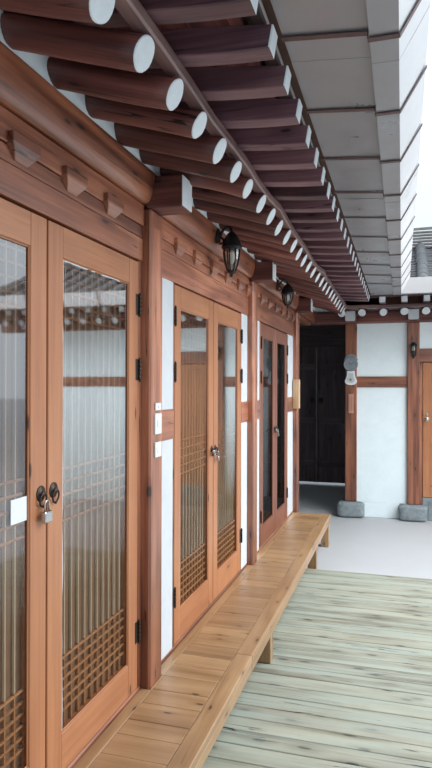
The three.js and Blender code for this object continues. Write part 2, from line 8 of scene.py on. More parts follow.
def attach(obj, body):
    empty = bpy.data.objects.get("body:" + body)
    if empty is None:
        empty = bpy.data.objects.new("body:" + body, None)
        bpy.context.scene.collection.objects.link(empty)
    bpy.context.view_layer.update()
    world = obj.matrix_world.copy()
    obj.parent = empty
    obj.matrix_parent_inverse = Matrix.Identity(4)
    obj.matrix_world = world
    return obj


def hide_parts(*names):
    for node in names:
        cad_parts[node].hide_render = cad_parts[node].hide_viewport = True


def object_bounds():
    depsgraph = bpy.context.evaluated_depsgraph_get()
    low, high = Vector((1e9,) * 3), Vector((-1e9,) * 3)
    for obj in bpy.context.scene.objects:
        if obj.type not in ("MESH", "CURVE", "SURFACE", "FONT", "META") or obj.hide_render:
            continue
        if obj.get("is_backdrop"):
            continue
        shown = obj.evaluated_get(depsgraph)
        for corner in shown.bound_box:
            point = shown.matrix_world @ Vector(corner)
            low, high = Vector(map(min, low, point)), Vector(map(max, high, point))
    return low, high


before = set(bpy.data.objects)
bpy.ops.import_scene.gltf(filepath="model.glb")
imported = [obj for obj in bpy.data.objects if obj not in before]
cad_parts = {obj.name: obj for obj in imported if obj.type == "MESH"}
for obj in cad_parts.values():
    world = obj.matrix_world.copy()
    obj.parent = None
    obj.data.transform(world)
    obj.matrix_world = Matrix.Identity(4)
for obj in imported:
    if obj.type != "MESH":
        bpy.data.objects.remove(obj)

CAD_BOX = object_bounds()
rng = np.random.default_rng(41)

# The plan frame of the CAD source, in millimetres: X = 0 is the face of the west wing's doors, Y
# runs along that wing. The row frame is that frame moved by OX, OY.
OX, OY = -737.5, -6072.5


def to_row(v):
    v = np.asarray(v, float)
    return (v + np.array([OX, OY, 0.0])) / 1000.0


# ---------------------------------------------------------------------------
# mesh kit: gathers verts, faces, a grain frame for each member and a tone
# ---------------------------------------------------------------------------
class Kit:
    def __init__(self):
        self.v, self.g, self.t = [], [], []
        self.polys = {}
        self.n = 0

    def add(self, verts, faces, grain, mat=0, smooth=False, tone=None):
        verts = np.asarray(verts, float).reshape(-1, 3)
        grain = np.asarray(grain, float).reshape(-1, 3)
        k = len(verts)
        if tone is None:
            tone = rng.random()
        self.v.append(verts)
        self.g.append(grain)
        self.t.append(np.full(k, tone) if np.ndim(tone) == 0 else np.asarray(tone, float))
        for f in faces:
            f = np.asarray(f, int)
            if f.ndim == 1:
                f = f[None]
            self.polys.setdefault((f.shape[1], mat, smooth), []).append(f + self.n)
        self.n += k

    def build(self, name, mats):
        v = to_row(np.concatenate(self.v))
        g = np.concatenate(self.g) / 1000.0
        t = np.concatenate(self.t)
        me = bpy.data.meshes.new(name)
        groups = [(k, np.concatenate(a)) for k, a in sorted(self.polys.items(), key=lambda kv: kv[0])]
        loops = np.concatenate([a.ravel() for _, a in groups]).astype(np.int32)
        sizes = np.concatenate([np.full(len(a), k[0]) for k, a in groups]).astype(np.int32)
        midx = np.concatenate([np.full(len(a), k[1]) for k, a in groups]).astype(np.int32)
        sm = np.concatenate([np.full(len(a), k[2]) for k, a in groups]).astype(bool)
        starts = np.concatenate([[0], np.cumsum(sizes)[:-1]]).astype(np.int32)
        me.vertices.add(len(v))
        me.vertices.foreach_set("co", v.astype(np.float32).ravel())
        me.loops.add(len(loops))
        me.loops.foreach_set("vertex_index", loops)
        me.polygons.add(len(sizes))
        me.polygons.foreach_set("loop_start", starts)
        me.polygons.foreach_set("material_index", midx)
        me.polygons.foreach_set("use_smooth", sm)
        me.update(calc_edges=True)
        me.validate()
        a = me.attributes.new("grain", "FLOAT_VECTOR", "POINT")
        a.data.foreach_set("vector", g.astype(np.float32).ravel())
        a = me.attributes.new("tone", "FLOAT", "POINT")
        a.data.foreach_set("value", t.astype(np.float32))
        for m in mats:
            me.materials.append(m)
        ob = bpy.data.objects.new(name, me)
        bpy.context.scene.collection.objects.link(ob)
        return ob


def unit(v):
    v = np.asarray(v, float)
    return v / np.linalg.norm(v)


def frame_of(ax, up=(0, 0, 1)):
    ex = unit(ax)
    ez = np.asarray(up, float)
    ez = ez - ex * (ez @ ex)
    if np.linalg.norm(ez) < 1e-6:
        ez = np.array([1.0, 0, 0]) - ex * ex[0]
    ez = unit(ez)
    ey = np.cross(ez, ex)
    return ex, ey, ez


def chamfer_faces():
    # corners are (sx, sy, sz); three verts each: 0 inset in y,z (x face), 1 inset x,z (y face), 2 inset x,y (z face)
    def i(sx, sy, sz, k):
        return ((sx > 0) * 4 + (sy > 0) * 2 + (sz > 0)) * 3 + k

    q, t = [], []
    for s in (1, -1):
        f = [i(s, -1, -1, 0), i(s, 1, -1, 0), i(s, 1, 1, 0), i(s, -1, 1, 0)]
        q.append(f if s > 0 else f[::-1])
        f = [i(-1, s, -1, 1), i(-1, s, 1, 1), i(1, s, 1, 1), i(1, s, -1, 1)]
        q.append(f if s > 0 else f[::-1])
        f = [i(-1, -1, s, 2), i(1, -1, s, 2), i(1, 1, s, 2), i(-1, 1, s, 2)]
        q.append(f if s > 0 else f[::-1])
    for a in (1, -1):
        for b in (1, -1):
            f = [i(a, b, -1, 0), i(a, b, -1, 1), i(a, b, 1, 1), i(a, b, 1, 0)]  # x-y edge, along z
            q.append(f if a * b > 0 else f[::-1])
            f = [i(a, -1, b, 0), i(a, 1, b, 0), i(a, 1, b, 2), i(a, -1, b, 2)]  # x-z edge, along y
            q.append(f if a * b > 0 else f[::-1])
            f = [i(-1, a, b, 1), i(-1, a, b, 2), i(1, a, b, 2), i(1, a, b, 1)]  # y-z edge, along x
            q.append(f if a * b > 0 else f[::-1])
    for a in (1, -1):
        for b in (1, -1):
            for c in (1, -1):
                f = [i(a, b, c, 0), i(a, b, c, 1), i(a, b, c, 2)]
                t.append(f if a * b * c > 0 else f[::-1])
    return np.array(q), np.array(t)


CQ, CT = chamfer_faces()


def member(kit, a, b, w, h, c=4.0, up=(0, 0, 1), mat=0, tone=None, ends=None):
    """Chamfered bar from a to b (centre line), w across and h along up."""
    a, b = np.asarray(a, float), np.asarray(b, float)
    L = np.linalg.norm(b - a)
    ex, ey, ez = frame_of(b - a, up)
    c = min(c, w * 0.45, h * 0.45, L * 0.45)
    pts, gr = [], []
    for sx in (-1, 1):
        for sy in (-1, 1):
            for sz in (-1, 1):
                for k in range(3):
                    x = sx * (L / 2 - (0 if k == 0 else c))
                    y = sy * (w / 2 - (0 if k == 1 else c))
                    z = sz * (h / 2 - (0 if k == 2 else c))
                    pts.append((x, y, z))
    pts = np.array(pts)
    off = rng.random(3) * np.array([4000, 900, 900])
    gr = pts + off
    m = (a + b) / 2
    verts = m + pts[:, :1] * ex + pts[:, 1:2] * ey + pts[:, 2:] * ez
    if ends is None:
        kit.add(verts, [CQ, CT], gr, mat, False, tone)
    else:  # the end faces in another material
        t = rng.random() if tone is None else tone
        kit.add(verts, [np.delete(CQ, [0], 0) if ends == "b" else CQ[[1, 2, 4, 5] + list(range(6, 18))], CT], gr, mat, False, t)
        if ends == "b":
            kit.polys.setdefault((4, mat + 1, False), []).append(CQ[[0]] + kit.n - 24)


def bar(kit, x0, x1, y0, y1, z0, z1, c=4.0, along="x", mat=0, tone=None):
    """Axis-aligned chamfered box whose grain runs along the named axis."""
    m = [(x0 + x1) / 2, (y0 + y1) / 2, (z0 + z1) / 2]
    if along == "x":
        member(kit, [x0, m[1], m[2]], [x1, m[1], m[2]], y1 - y0, z1 - z0, c, (0, 0, 1), mat, tone)
    elif along == "y":
        member(kit, [m[0], y0, m[2]], [m[0], y1, m[2]], x1 - x0, z1 - z0, c, (0, 0, 1), mat, tone)
    else:
        member(kit, [m[0], m[1], z0], [m[0], m[1], z1], y1 - y0, x1 - x0, c, (1, 0, 0), mat, tone)


def smooth_noise(n, k, amp):
    """n samples of a slow random wave with about k knots."""
    p = rng.normal(size=k + 3) * amp
    x = np.linspace(0, k, n)
    i = np.floor(x).astype(int)
    f = x - i
    f = f * f * (3 - 2 * f)
    return p[i] * (1 - f) + p[i + 1] * f


def pole(kit, a, b, r0, r1, sides=20, rings=8, crook=4.0, lump=1.5, mat=0, cap_a=None, cap_b=None, tone=None, bevel=3.0, cut=0.0):
    """A peeled log from a to b with slow crook and lumps; cap_* is the material of that end."""
    a, b = np.asarray(a, float), np.asarray(b, float)
    L = np.linalg.norm(b - a)
    ex, ey, ez = frame_of(b - a)
    s = np.concatenate([[0, bevel], np.linspace(0, L, rings + 1)[1:-1], [L - bevel, L]])
    n = len(s)
    ca, cb = smooth_noise(n, 3, crook), smooth_noise(n, 3, crook)
    ca -= ca[0] + (ca[-1] - ca[0]) * s / L * 1.0
    cb -= cb[0] + (cb[-1] - cb[0]) * s / L * 1.0
    th = np.arange(sides) / sides * 2 * np.pi
    ph = rng.random(4) * 6.28
    V, G = [], []
    for i, x in enumerate(s):
        r = r0 + (r1 - r0) * x / L
        if i in (0, n - 1):
            r -= bevel
        rr = r + lump * (np.sin(2 * th + ph[0] + x / 400) + 0.6 * np.sin(3 * th + ph[1] - x / 260) + 0.4 * np.sin(5 * th + ph[2] + x / 150)) - lump
        y = ca[i] + rr * np.cos(th)
        z = cb[i] + rr * np.sin(th)
        xs = x - (cut * rr * np.sin(th) if i < 2 else 0.0)
        V.append(a + np.reshape(xs, (-1, 1)) * ex + y[:, None] * ey + z[:, None] * ez)
        G.append(np.stack([np.full(sides, x), rr * np.cos(th), rr * np.sin(th)], 1))
    off = rng.random(3) * np.array([4000, 900, 900])
    V = np.concatenate(V)
    G = np.concatenate(G) + off
    j = np.arange(sides)
    k = (j + 1) % sides
    quads = [np.stack([i * sides + j, i * sides + k, (i + 1) * sides + k, (i + 1) * sides + j], 1) for i in range(n - 1)]
    t = rng.random() if tone is None else tone
    base = kit.n
    kit.add(V, [np.concatenate(quads[1:-1])], G, mat, True, t)
    ma = mat if cap_a is None else cap_a
    mb = mat if cap_b is None else cap_b
    kit.polys.setdefault((4, ma, False), []).append(quads[0] + base)
    kit.polys.setdefault((4, mb, False), []).append(quads[-1] + base)
    kit.polys.setdefault((sides, ma, False), []).append(np.arange(sides)[::-1][None] + base)
    kit.polys.setdefault((sides, mb, False), []).append((np.arange(sides) + (n - 1) * sides)[None] + base)


def tube(kit, pts, r, sides=8, mat=0, closed=False, tone=0.5, taper=None):
    """Round bar through points."""
    P = np.asarray(pts, float)
    n = len(P)
    T = np.gradient(P, axis=0) if not closed else (np.roll(P, -1, 0) - np.roll(P, 1, 0))
    T /= np.linalg.norm(T, axis=1)[:, None]
    up = np.array([0, 0, 1.0])
    if abs(T[0] @ up) > 0.9:
        up = np.array([1.0, 0, 0])
    ez = unit(up - T[0] * (up @ T[0]))
    V, G = [], []
    th = np.arange(sides) / sides * 2 * np.pi
    acc = 0.0
    for i in range(n):
        ez = unit(ez - T[i] * (ez @ T[i]))
        ey = np.cross(ez, T[i])
        rr = r if taper is None else r * taper[i]
        V.append(P[i] + rr * (np.cos(th)[:, None] * ey + np.sin(th)[:, None] * ez))
        if i:
            acc += np.linalg.norm(P[i] - P[i - 1])
        G.append(np.stack([np.full(sides, acc), rr * np.cos(th), rr * np.sin(th)], 1))
    j = np.arange(sides)
    k = (j + 1) % sides
    rng_ = range(n if closed else n - 1)
    quads = np.concatenate([np.stack([i * sides + j, i * sides + k, ((i + 1) % n) * sides + k, ((i + 1) % n) * sides + j], 1) for i in rng_])
    base = kit.n
    kit.add(np.concatenate(V), [quads], np.concatenate(G), mat, True, tone)
    if not closed:
        kit.polys.setdefault((sides, mat, False), []).append(np.arange(sides)[::-1][None] + base)
        kit.polys.setdefault((sides, mat, False), []).append((np.arange(sides) + (n - 1) * sides)[None] + base)


def lathe(kit, axis_pt, axis, prof, sides=20, mat=0, tone=0.5, smooth=True):
    """Turned shape: prof is (distance along axis, radius), closed with end caps where radius > 0."""
    ex, ey, ez = frame_of(axis)
    o = np.asarray(axis_pt, float)
    th = np.arange(sides) / sides * 2 * np.pi
    V, G = [], []
    for s, r in prof:
        r = max(r, 0.02)
        V.append(o + s * ex + r * (np.cos(th)[:, None] * ey + np.sin(th)[:, None] * ez))
        G.append(np.stack([np.full(sides, s), r * np.cos(th), r * np.sin(th)], 1))
    j = np.arange(sides)
    k = (j + 1) % sides
    n = len(prof)
    quads = np.concatenate([np.stack([i * sides + j, i * sides + k, (i + 1) * sides + k, (i + 1) * sides + j], 1) for i in range(n - 1)])
    base = kit.n
    kit.add(np.concatenate(V), [quads], np.concatenate(G), mat, smooth, tone)
    kit.polys.setdefault((sides, mat, False), []).append(np.arange(sides)[::-1][None] + base)
    kit.polys.setdefault((sides, mat, False), []).append((np.arange(sides) + (n - 1) * sides)[None] + base)


def sweep(kit, prof, path_fn, stations, mat=0, tone=0.5, grain_along=True, smooth=False, cap=True):
    """Closed section prof (list of (d, z)) carried through stations; path_fn(d, z, s) gives the point."""
    n = len(prof)
    V, G = [], []
    for s in stations:
        for d, z in prof:
            V.append(path_fn(d, z, s))
            G.append((s, d, z))
    m = len(stations)
    j = np.arange(n)
    k = (j + 1) % n
    quads = np.concatenate([np.stack([i * n + j, i * n + k, (i + 1) * n + k, (i + 1) * n + j], 1) for i in range(m - 1)])
    base = kit.n
    kit.add(V, [quads], G, mat, smooth, tone)
    if cap:
        kit.polys.setdefault((n, mat, False), []).append(np.arange(n)[::-1][None] + base)
        kit.polys.setdefault((n, mat, False), []).append((np.arange(n) + (m - 1) * n)[None] + base)


# ---------------------------------------------------------------------------
# materials
# ---------------------------------------------------------------------------
class Nodes:
    def __init__(self, name):
        self.m = bpy.data.materials.new(name)
        self.m.use_nodes = True
        self.t = self.m.node_tree
        self.t.nodes.clear()
        self.out = self.t.nodes.new("ShaderNodeOutputMaterial")
        self.b = self.t.nodes.new("ShaderNodeBsdfPrincipled")
        self.t.links.new(self.b.outputs[0], self.out.inputs[0])

    def new(self, kind, **kw):
        n = self.t.nodes.new("ShaderNode" + kind)
        for k, v in kw.items():
            setattr(n, k, v)
        return n

    def link(self, a, b):
        self.t.links.new(a, b)

    def attr(self, name, out="Vector"):
        n = self.new("Attribute", attribute_type="GEOMETRY", attribute_name=name)
        return n.outputs[out]

    def vmul(self, v, s):
        n = self.new("VectorMath", operation="MULTIPLY")
        self.link(v, n.inputs[0])
        n.inputs[1].default_value = s
        return n.outputs[0]

    def vadd(self, a, b):
        n = self.new("VectorMath", operation="ADD")
        self.link(a, n.inputs[0])
        if isinstance(b, (tuple, list)):
            n.inputs[1].default_value = b
        else:
            self.link(b, n.inputs[1])
        return n.outputs[0]

    def math(self, op, a, b=None, c=None, clamp=False):
        n = self.new("Math", operation=op, use_clamp=clamp)
        for i, x in enumerate((a, b, c)):
            if x is None:
                continue
            if isinstance(x, (int, float)):
                n.inputs[i].default_value = x
            else:
                self.link(x, n.inputs[i])
        return n.outputs[0]

    def noise(self, vec, scale, detail=4.0, rough=0.55, dist=0.0):
        n = self.new("TexNoise")
        if vec is not None:
            self.link(vec, n.inputs["Vector"])
        n.inputs["Scale"].default_value = scale
        n.inputs["Detail"].default_value = detail
        n.inputs["Roughness"].default_value = rough
        n.inputs["Distortion"].default_value = dist
        return n.outputs[0]

    def voronoi(self, vec, scale, feature="F1", rand=1.0):
        n = self.new("TexVoronoi", feature=feature)
        self.link(vec, n.inputs["Vector"])
        n.inputs["Scale"].default_value = scale
        n.inputs["Randomness"].default_value = rand
        return n

    def ramp(self, fac, stops, interp="LINEAR"):
        n = self.new("ValToRGB")
        n.color_ramp.interpolation = interp
        e = n.color_ramp.elements
        while len(e) > 1:
            e.remove(e[-1])
        for i, (p, c) in enumerate(stops):
            el = e[0] if i == 0 else e.new(p)
            el.position = p
            if isinstance(c, (int, float)):
                c = (c, c, c)
            el.color = (*c[:3], 1)
        self.link(fac, n.inputs[0])
        return n.outputs[0]

    def mix(self, fac, a, b, mode="MIX"):
        n = self.new("Mix", data_type="RGBA", blend_type=mode)
        for x, s in ((fac, n.inputs[0]), (a, n.inputs[6]), (b, n.inputs[7])):
            if isinstance(x, (int, float)):
                s.default_value = x
            elif isinstance(x, (tuple, list)):
                s.default_value = (*x[:3], 1)
            else:
                self.link(x, s)
        return n.outputs[2]

    def maprange(self, v, a, b, c, d, clamp=True):
        n = self.new("MapRange", clamp=clamp)
        self.link(v, n.inputs[0])
        for i, x in enumerate((a, b, c, d)):
            n.inputs[i + 1].default_value = x
        return n.outputs[0]

    def bump(self, height, strength=0.3, dist=0.002, normal=None):
        n = self.new("Bump")
        n.inputs["Strength"].default_value = strength
        n.inputs["Distance"].default_value = dist
        self.link(height, n.inputs["Height"])
        if normal is not None:
            self.link(normal, n.inputs["Normal"])
        return n.outputs[0]

    def position(self):
        return self.new("NewGeometry").outputs["Position"]


def wood(name, dark, mid, light, rough=(0.42, 0.62), ring=5.0, knots=0.5, tonal=0.35, coat=0.0, cracks=0.5, dirt=0.0, dirt_col=(0.05, 0.03, 0.02), bump=0.35, grey=None, contrast=0.6, knot_at=(2.1, 6.5), eye_r=0.065, coat_rough=0.32, coat_ior=1.5, streak=1.5, painted_sheen=None):
    m = Nodes(name)
    g = m.attr("grain")
    tone = m.attr("tone", "Fac")
    warp = m.noise(m.vmul(g, (1.2, 7, 7)), 1.0, 3, 0.5)
    big = m.noise(m.vmul(g, (0.45, 5.0, 5.0)), 1.0, 2, 0.5, 0.3)
    rings = m.math("PINGPONG", m.math("MULTIPLY_ADD", big, ring * 2.2, m.math("MULTIPLY", warp, 1.2)), 1.0)
    fib = m.noise(m.vmul(g, (6, 240, 240)), 1.0, 5, 0.65)
    fib2 = m.noise(m.vmul(g, (1.6, 60, 60)), 1.0, 4, 0.62)
    patch = m.noise(m.vmul(g, (0.8, 9, 9)), 1.0, 2, 0.5)
    f = m.math("MULTIPLY_ADD", m.math("SUBTRACT", rings, 0.5), 0.7 * contrast, 0.5)
    f = m.math("ADD", f, m.math("MULTIPLY", m.math("SUBTRACT", fib2, 0.5), streak))
    f = m.math("ADD", f, m.math("MULTIPLY", m.math("SUBTRACT", patch, 0.5), 1.2))
    base = m.ramp(f, [(0.0, dark), (0.45, mid), (0.9, light), (1.0, light)])
    col = m.mix(m.math("MULTIPLY", m.maprange(fib, 0.42, 0.75, 0.0, 1.0), 0.4), base, dark, "MIX")
    if knots > 0:      # dark eyes in a darker halo, stretched along the grain
        sp = m.new("SeparateXYZ")
        m.link(g, sp.inputs[0])
        cb = m.new("CombineXYZ")
        m.link(m.math("MULTIPLY", sp.outputs[0], knot_at[0]), cb.inputs[0])
        m.link(m.math("MULTIPLY", m.math("ADD", sp.outputs[1], sp.outputs[2]), knot_at[1]), cb.inputs[1])
        kv = m.voronoi(cb.outputs[0], 1.0)
        kv.voronoi_dimensions = "2D"
        kd = m.math("ADD", kv.outputs["Distance"], m.math("MULTIPLY", m.math("SUBTRACT", fib2, 0.5), 0.05))
        eye = m.maprange(kd, eye_r * 0.55, eye_r, 1.0, 0.0)
        halo = m.maprange(kd, eye_r, eye_r * 3.2, 1.0, 0.0)
        pick = m.math("GREATER_THAN", m.noise(kv.outputs["Position"], 3.1, 0, 0), 0.62 - 0.2 * knots)
        col = m.mix(m.math("MULTIPLY", m.math("MULTIPLY", halo, pick), 0.5), col, dark)
        col = m.mix(m.math("MULTIPLY", m.math("MULTIPLY", eye, pick), 0.92), col, tuple(x * 0.2 for x in dark))
    # each member has its own tone
    t2 = m.ramp(tone, [(0.0, tuple(1 - tonal * k for k in (1.0, 1.1, 1.2))), (0.5, (1, 1, 1)), (1.0, tuple(1 + tonal * k for k in (0.45, 0.4, 0.3)))])
    col = m.mix(1.0, col, t2, "MULTIPLY")
    pos = m.position()
    blotch = m.noise(pos, 2.3, 3, 0.6)
    col = m.mix(m.maprange(blotch, 0.4, 0.8, 0.0, 0.35 + dirt), col, m.mix(1.0, col, (0.66, 0.58, 0.55), "MULTIPLY"))
    if dirt > 0:
        d = m.maprange(m.noise(pos, 6.0, 6, 0.7), 0.48, 0.78, 0.0, dirt)
        col = m.mix(d, col, dirt_col)
    if grey is not None:
        d = m.maprange(m.noise(m.vmul(g, (1.2, 14, 14)), 1.0, 5, 0.65), 0.38, 0.62, 0.0, 0.85)
        col = m.mix(d, col, grey)
    if painted_sheen is not None:      # painted light on one stretch of the front: painted shade a little darker lower down, painted sheen paler and bluer higher up
        sd = m.new("SeparateXYZ")
        m.link(pos, sd.inputs[0])
        f1 = m.math("MULTIPLY", m.maprange(sd.outputs[1], painted_sheen[0], painted_sheen[1], 0.0, 1.0), m.maprange(sd.outputs[1], painted_sheen[2], painted_sheen[3], 1.0, 0.0))
        f2 = m.maprange(sd.outputs[2], 0.9, 1.7, 0.0, 1.0)
        col = m.mix(m.math("MULTIPLY", f1, m.math("SUBTRACT", 1.0, f2)), col, m.mix(1.0, col, (0.84, 0.80, 0.76), "MULTIPLY"))
        col = m.mix(m.math("MULTIPLY", f1, f2), col, m.mix(1.0, col, painted_sheen[4], "MULTIPLY"))
    h = m.math("MULTIPLY_ADD", fib, 0.6, m.math("MULTIPLY", fib2, 0.5))
    if cracks > 0:     # short dark checks along the grain
        c = m.noise(m.vmul(g, (0.8, 34, 34)), 1.0, 2, 0.5)
        line = m.math("MULTIPLY", m.math("LESS_THAN", m.math("ABSOLUTE", m.math("SUBTRACT", c, 0.5)), 0.009), m.maprange(m.noise(m.vmul(g, (1.3, 6, 6)), 1.0, 2, 0.5), 0.54, 0.60, 0.0, cracks))
        col = m.mix(line, col, tuple(x * 0.12 for x in dark))
        h = m.math("SUBTRACT", h, m.math("MULTIPLY", line, 1.8))
    m.link(col, m.b.inputs["Base Color"])
    m.link(m.maprange(m.math("ADD", m.math("MULTIPLY", fib2, 0.5), m.math("MULTIPLY", blotch, 0.5)), 0.3, 0.7, rough[0], rough[1]), m.b.inputs["Roughness"])
    m.link(m.bump(h, bump, 0.0012), m.b.inputs["Normal"])
    if coat:
        m.b.inputs["Coat Weight"].default_value = coat
        m.b.inputs["Coat Roughness"].default_value = coat_rough
        m.b.inputs["Coat IOR"].default_value = coat_ior
    m.b.inputs["Specular IOR Level"].default_value = 0.5
    return m.m


def painted(name, col, rough=0.5, metal=0.0, var=0.12, scale=9.0, bump=0.15, dirt=0.0, dirt_col=(0.2, 0.18, 0.15), fine=220.0, waves=0.0):
    m = Nodes(name)
    pos = m.position()
    n = m.noise(pos, scale, 5, 0.6)
    n2 = m.noise(pos, scale * 6, 4, 0.6)
    v = m.maprange(m.math("MULTIPLY_ADD", n, 0.6, m.math("MULTIPLY", n2, 0.4)), 0.3, 0.7, 1 - var, 1 + var * 0.4)
    c = m.new("Mix", data_type="RGBA", blend_type="MULTIPLY")
    c.inputs[0].default_value = 1.0
    c.inputs[6].default_value = (*col, 1)
    cv = m.new("CombineXYZ")
    for i in range(3):
        m.link(v, cv.inputs[i])
    m.link(cv.outputs[0], c.inputs[7])
    colo = c.outputs[2]
    if dirt:
        d = m.maprange(m.noise(pos, scale * 1.7, 7, 0.68, 0.5), 0.5, 0.78, 0.0, dirt)
        colo = m.mix(d, colo, dirt_col)
    m.link(colo, m.b.inputs["Base Color"])
    m.link(m.maprange(n2, 0.3, 0.7, max(0.02, rough - 0.1), min(1, rough + 0.1)), m.b.inputs["Roughness"])
    m.b.inputs["Metallic"].default_value = metal
    nb = m.bump(m.noise(pos, fine, 4, 0.6), bump, 0.0006)
    if waves:          # the soft dents of thin sheet
        nb = m.bump(m.noise(m.vmul(pos, (2.6, 1.0, 2.6)), 1.6, 1, 0.4), waves, 0.008, nb)
    m.link(nb, m.b.inputs["Normal"])
    return m.m


TIMBER = wood("timber_oiled_pine", (0.115, 0.034, 0.016), (0.285, 0.096, 0.047), (0.45, 0.172, 0.086), (0.36, 0.50), 3, 0.9, 0.26, 0.7, 1.0, 0.10, contrast=0.85, coat_rough=0.28, coat_ior=1.55)
# the oiled pine again, with painted sheen and painted shade over one stretch of the front
FRONTW = wood("timber_front_pine", (0.115, 0.034, 0.016), (0.285, 0.096, 0.047), (0.45, 0.172, 0.086), (0.36, 0.50), 3, 0.9, 0.26, 0.7, 1.0, 0.10, contrast=0.85, coat_rough=0.28, coat_ior=1.55, painted_sheen=(-3.45, -3.30, -1.6, -0.9, (1.62, 1.72, 1.85)))
RAFTER = wood("rafter_pine", (0.056, 0.018, 0.017), (0.165, 0.055, 0.045), (0.275, 0.100, 0.080), (0.42, 0.58), 3, 0.8, 0.38, 0.2, 1.0, 0.15)
# a shaded copy of the rafter pine: its bluish purple cast is painted shade under the eaves
FLYER = wood("flying_rafter_pine", (0.070, 0.036, 0.048), (0.170, 0.085, 0.105), (0.265, 0.140, 0.155), (0.42, 0.58), 3, 0.8, 0.38, 0.3, 1.0, 0.15)
DOORW = wood("door_varnished_wood", (0.35, 0.132, 0.055), (0.44, 0.178, 0.077), (0.52, 0.225, 0.100), (0.32, 0.46), 4, 0.12, 0.12, 0.25, 0.15, 0.04, bump=0.16, contrast=0.35)
DOORR = wood("door_red_wood", (0.165, 0.050, 0.028), (0.213, 0.069, 0.038), (0.262, 0.092, 0.050), (0.32, 0.46), 4, 0.12, 0.12, 0.25, 0.15, 0.04, bump=0.16, contrast=0.35)
PINE = wood("bench_honey_pine", (0.22, 0.115, 0.050), (0.365, 0.213, 0.104), (0.47, 0.295, 0.155), (0.30, 0.44), 4, 1.1, 0.16, 0.35, 0.3, 0.05, bump=0.22, contrast=0.4, knot_at=(3.0, 9.0), streak=0.9)
DECKW = wood("deck_weathered_boards", (0.15, 0.13, 0.085), (0.33, 0.325, 0.245), (0.43, 0.43, 0.345), (0.55, 0.75), 4, 1.6, 0.30, 0.1, 1.0, 0.22, (0.10, 0.11, 0.06), 0.5, grey=(0.345, 0.385, 0.33), contrast=0.7, knot_at=(2.6, 7.0), eye_r=0.10, streak=0.85)
GATEW = wood("gate_dark_boards", (0.062, 0.043, 0.050), (0.112, 0.080, 0.090), (0.165, 0.122, 0.130), (0.5, 0.7), 4, 0.5, 0.3, 0.0, 0.6, 0.2)
LATTICE = wood("lattice_orange_wood", (0.33, 0.16, 0.080), (0.42, 0.22, 0.115), (0.50, 0.28, 0.155), (0.5, 0.65), 4, 0.0, 0.15, 0.0, 0.0, 0.0, bump=0.15)
EAVEB = wood("eave_board_wood", (0.090, 0.050, 0.046), (0.168, 0.100, 0.094), (0.25, 0.158, 0.146), (0.42, 0.56), 3, 0.4, 0.25, 0.3, 0.8, 0.10)
# near black board on the flying rafters: painted shade between them
DARKB = wood("eave_board_painted_shade", (0.016, 0.009, 0.008), (0.030, 0.017, 0.014), (0.050, 0.028, 0.022), (0.6, 0.8), 3, 0.2, 0.25, 0.0, 0.5, 0.10)
SLAT = wood("slat_pale_wood", (0.50, 0.44, 0.36), (0.62, 0.55, 0.46), (0.70, 0.63, 0.54), (0.5, 0.65), 4, 0.0, 0.15, 0.0, 0.0, 0.0, bump=0.15)
PLASTER2 = painted("plaster_strip_white", (0.60, 0.635, 0.665), 0.85, 0, 0.10, 3.0, 0.35, 0.22, (0.42, 0.40, 0.37), 160)
PLASTER = painted("plaster_white", (0.82, 0.925, 0.95), 0.85, 0, 0.06, 3.0, 0.35, 0.10, (0.5, 0.47, 0.42), 160)
PAINT = painted("rafter_end_paint", (0.64, 0.70, 0.73), 0.6, 0, 0.10, 14.0, 0.3, 0.25, (0.42, 0.38, 0.34), 180)
METAL = painted("eaves_sheet_metal", (0.335, 0.33, 0.345), 0.36, 0.45, 0.08, 1.3, 0.02, 0.0, (0.27, 0.25, 0.25), 9, 0.30)
# the gutter's outer face: a paler copy of the sheet metal, painted sky light on that face
LIPM = painted("gutter_face_metal", (0.60, 0.60, 0.61), 0.38, 0.1, 0.05, 1.5, 0.02, 0.0, (0.5, 0.5, 0.5), 9, 0.10)
STRAP = painted("gutter_strap", (0.11, 0.058, 0.056), 0.42, 0.3, 0.2, 12.0, 0.1, 0.2)
LAMPIRON = painted("lantern_black_iron", (0.020, 0.020, 0.022), 0.36, 0.35, 0.3, 40.0, 0.3, 0.15, (0.05, 0.045, 0.04))
IRON = painted("hinge_iron", (0.060, 0.045, 0.036), 0.40, 0.7, 0.3, 40.0, 0.3, 0.25, (0.12, 0.07, 0.05))
STEEL = painted("lock_steel", (0.55, 0.55, 0.54), 0.25, 0.95, 0.1, 60.0, 0.1)
BRASS = painted("lock_brass", (0.62, 0.47, 0.2), 0.3, 0.9, 0.15, 60.0, 0.1)
STONE = painted("plinth_stone", (0.26, 0.305, 0.32), 0.9, 0, 0.45, 16.0, 0.9, 0.4, (0.14, 0.15, 0.13), 70)
BASE = painted("base_masonry", (0.42, 0.41, 0.39), 0.9, 0, 0.25, 7.0, 0.7, 0.35, (0.2, 0.19, 0.17), 90)
TILE = painted("roof_tile_clay", (0.085, 0.09, 0.097), 0.62, 0.0, 0.45, 7.0, 0.5, 0.35, (0.2, 0.2, 0.18), 120)
MORTAR = painted("roof_mortar_white", (0.66, 0.66, 0.63), 0.85, 0, 0.15, 10.0, 0.4, 0.2)
PLASTIC = painted("white_plastic", (0.75, 0.77, 0.78), 0.35, 0, 0.04, 12.0, 0.04)
PAPER = painted("lattice_paper", (0.23, 0.135, 0.090), 0.8, 0, 0.10, 5.0, 0.15, 0.1, (0.5, 0.45, 0.38), 300)


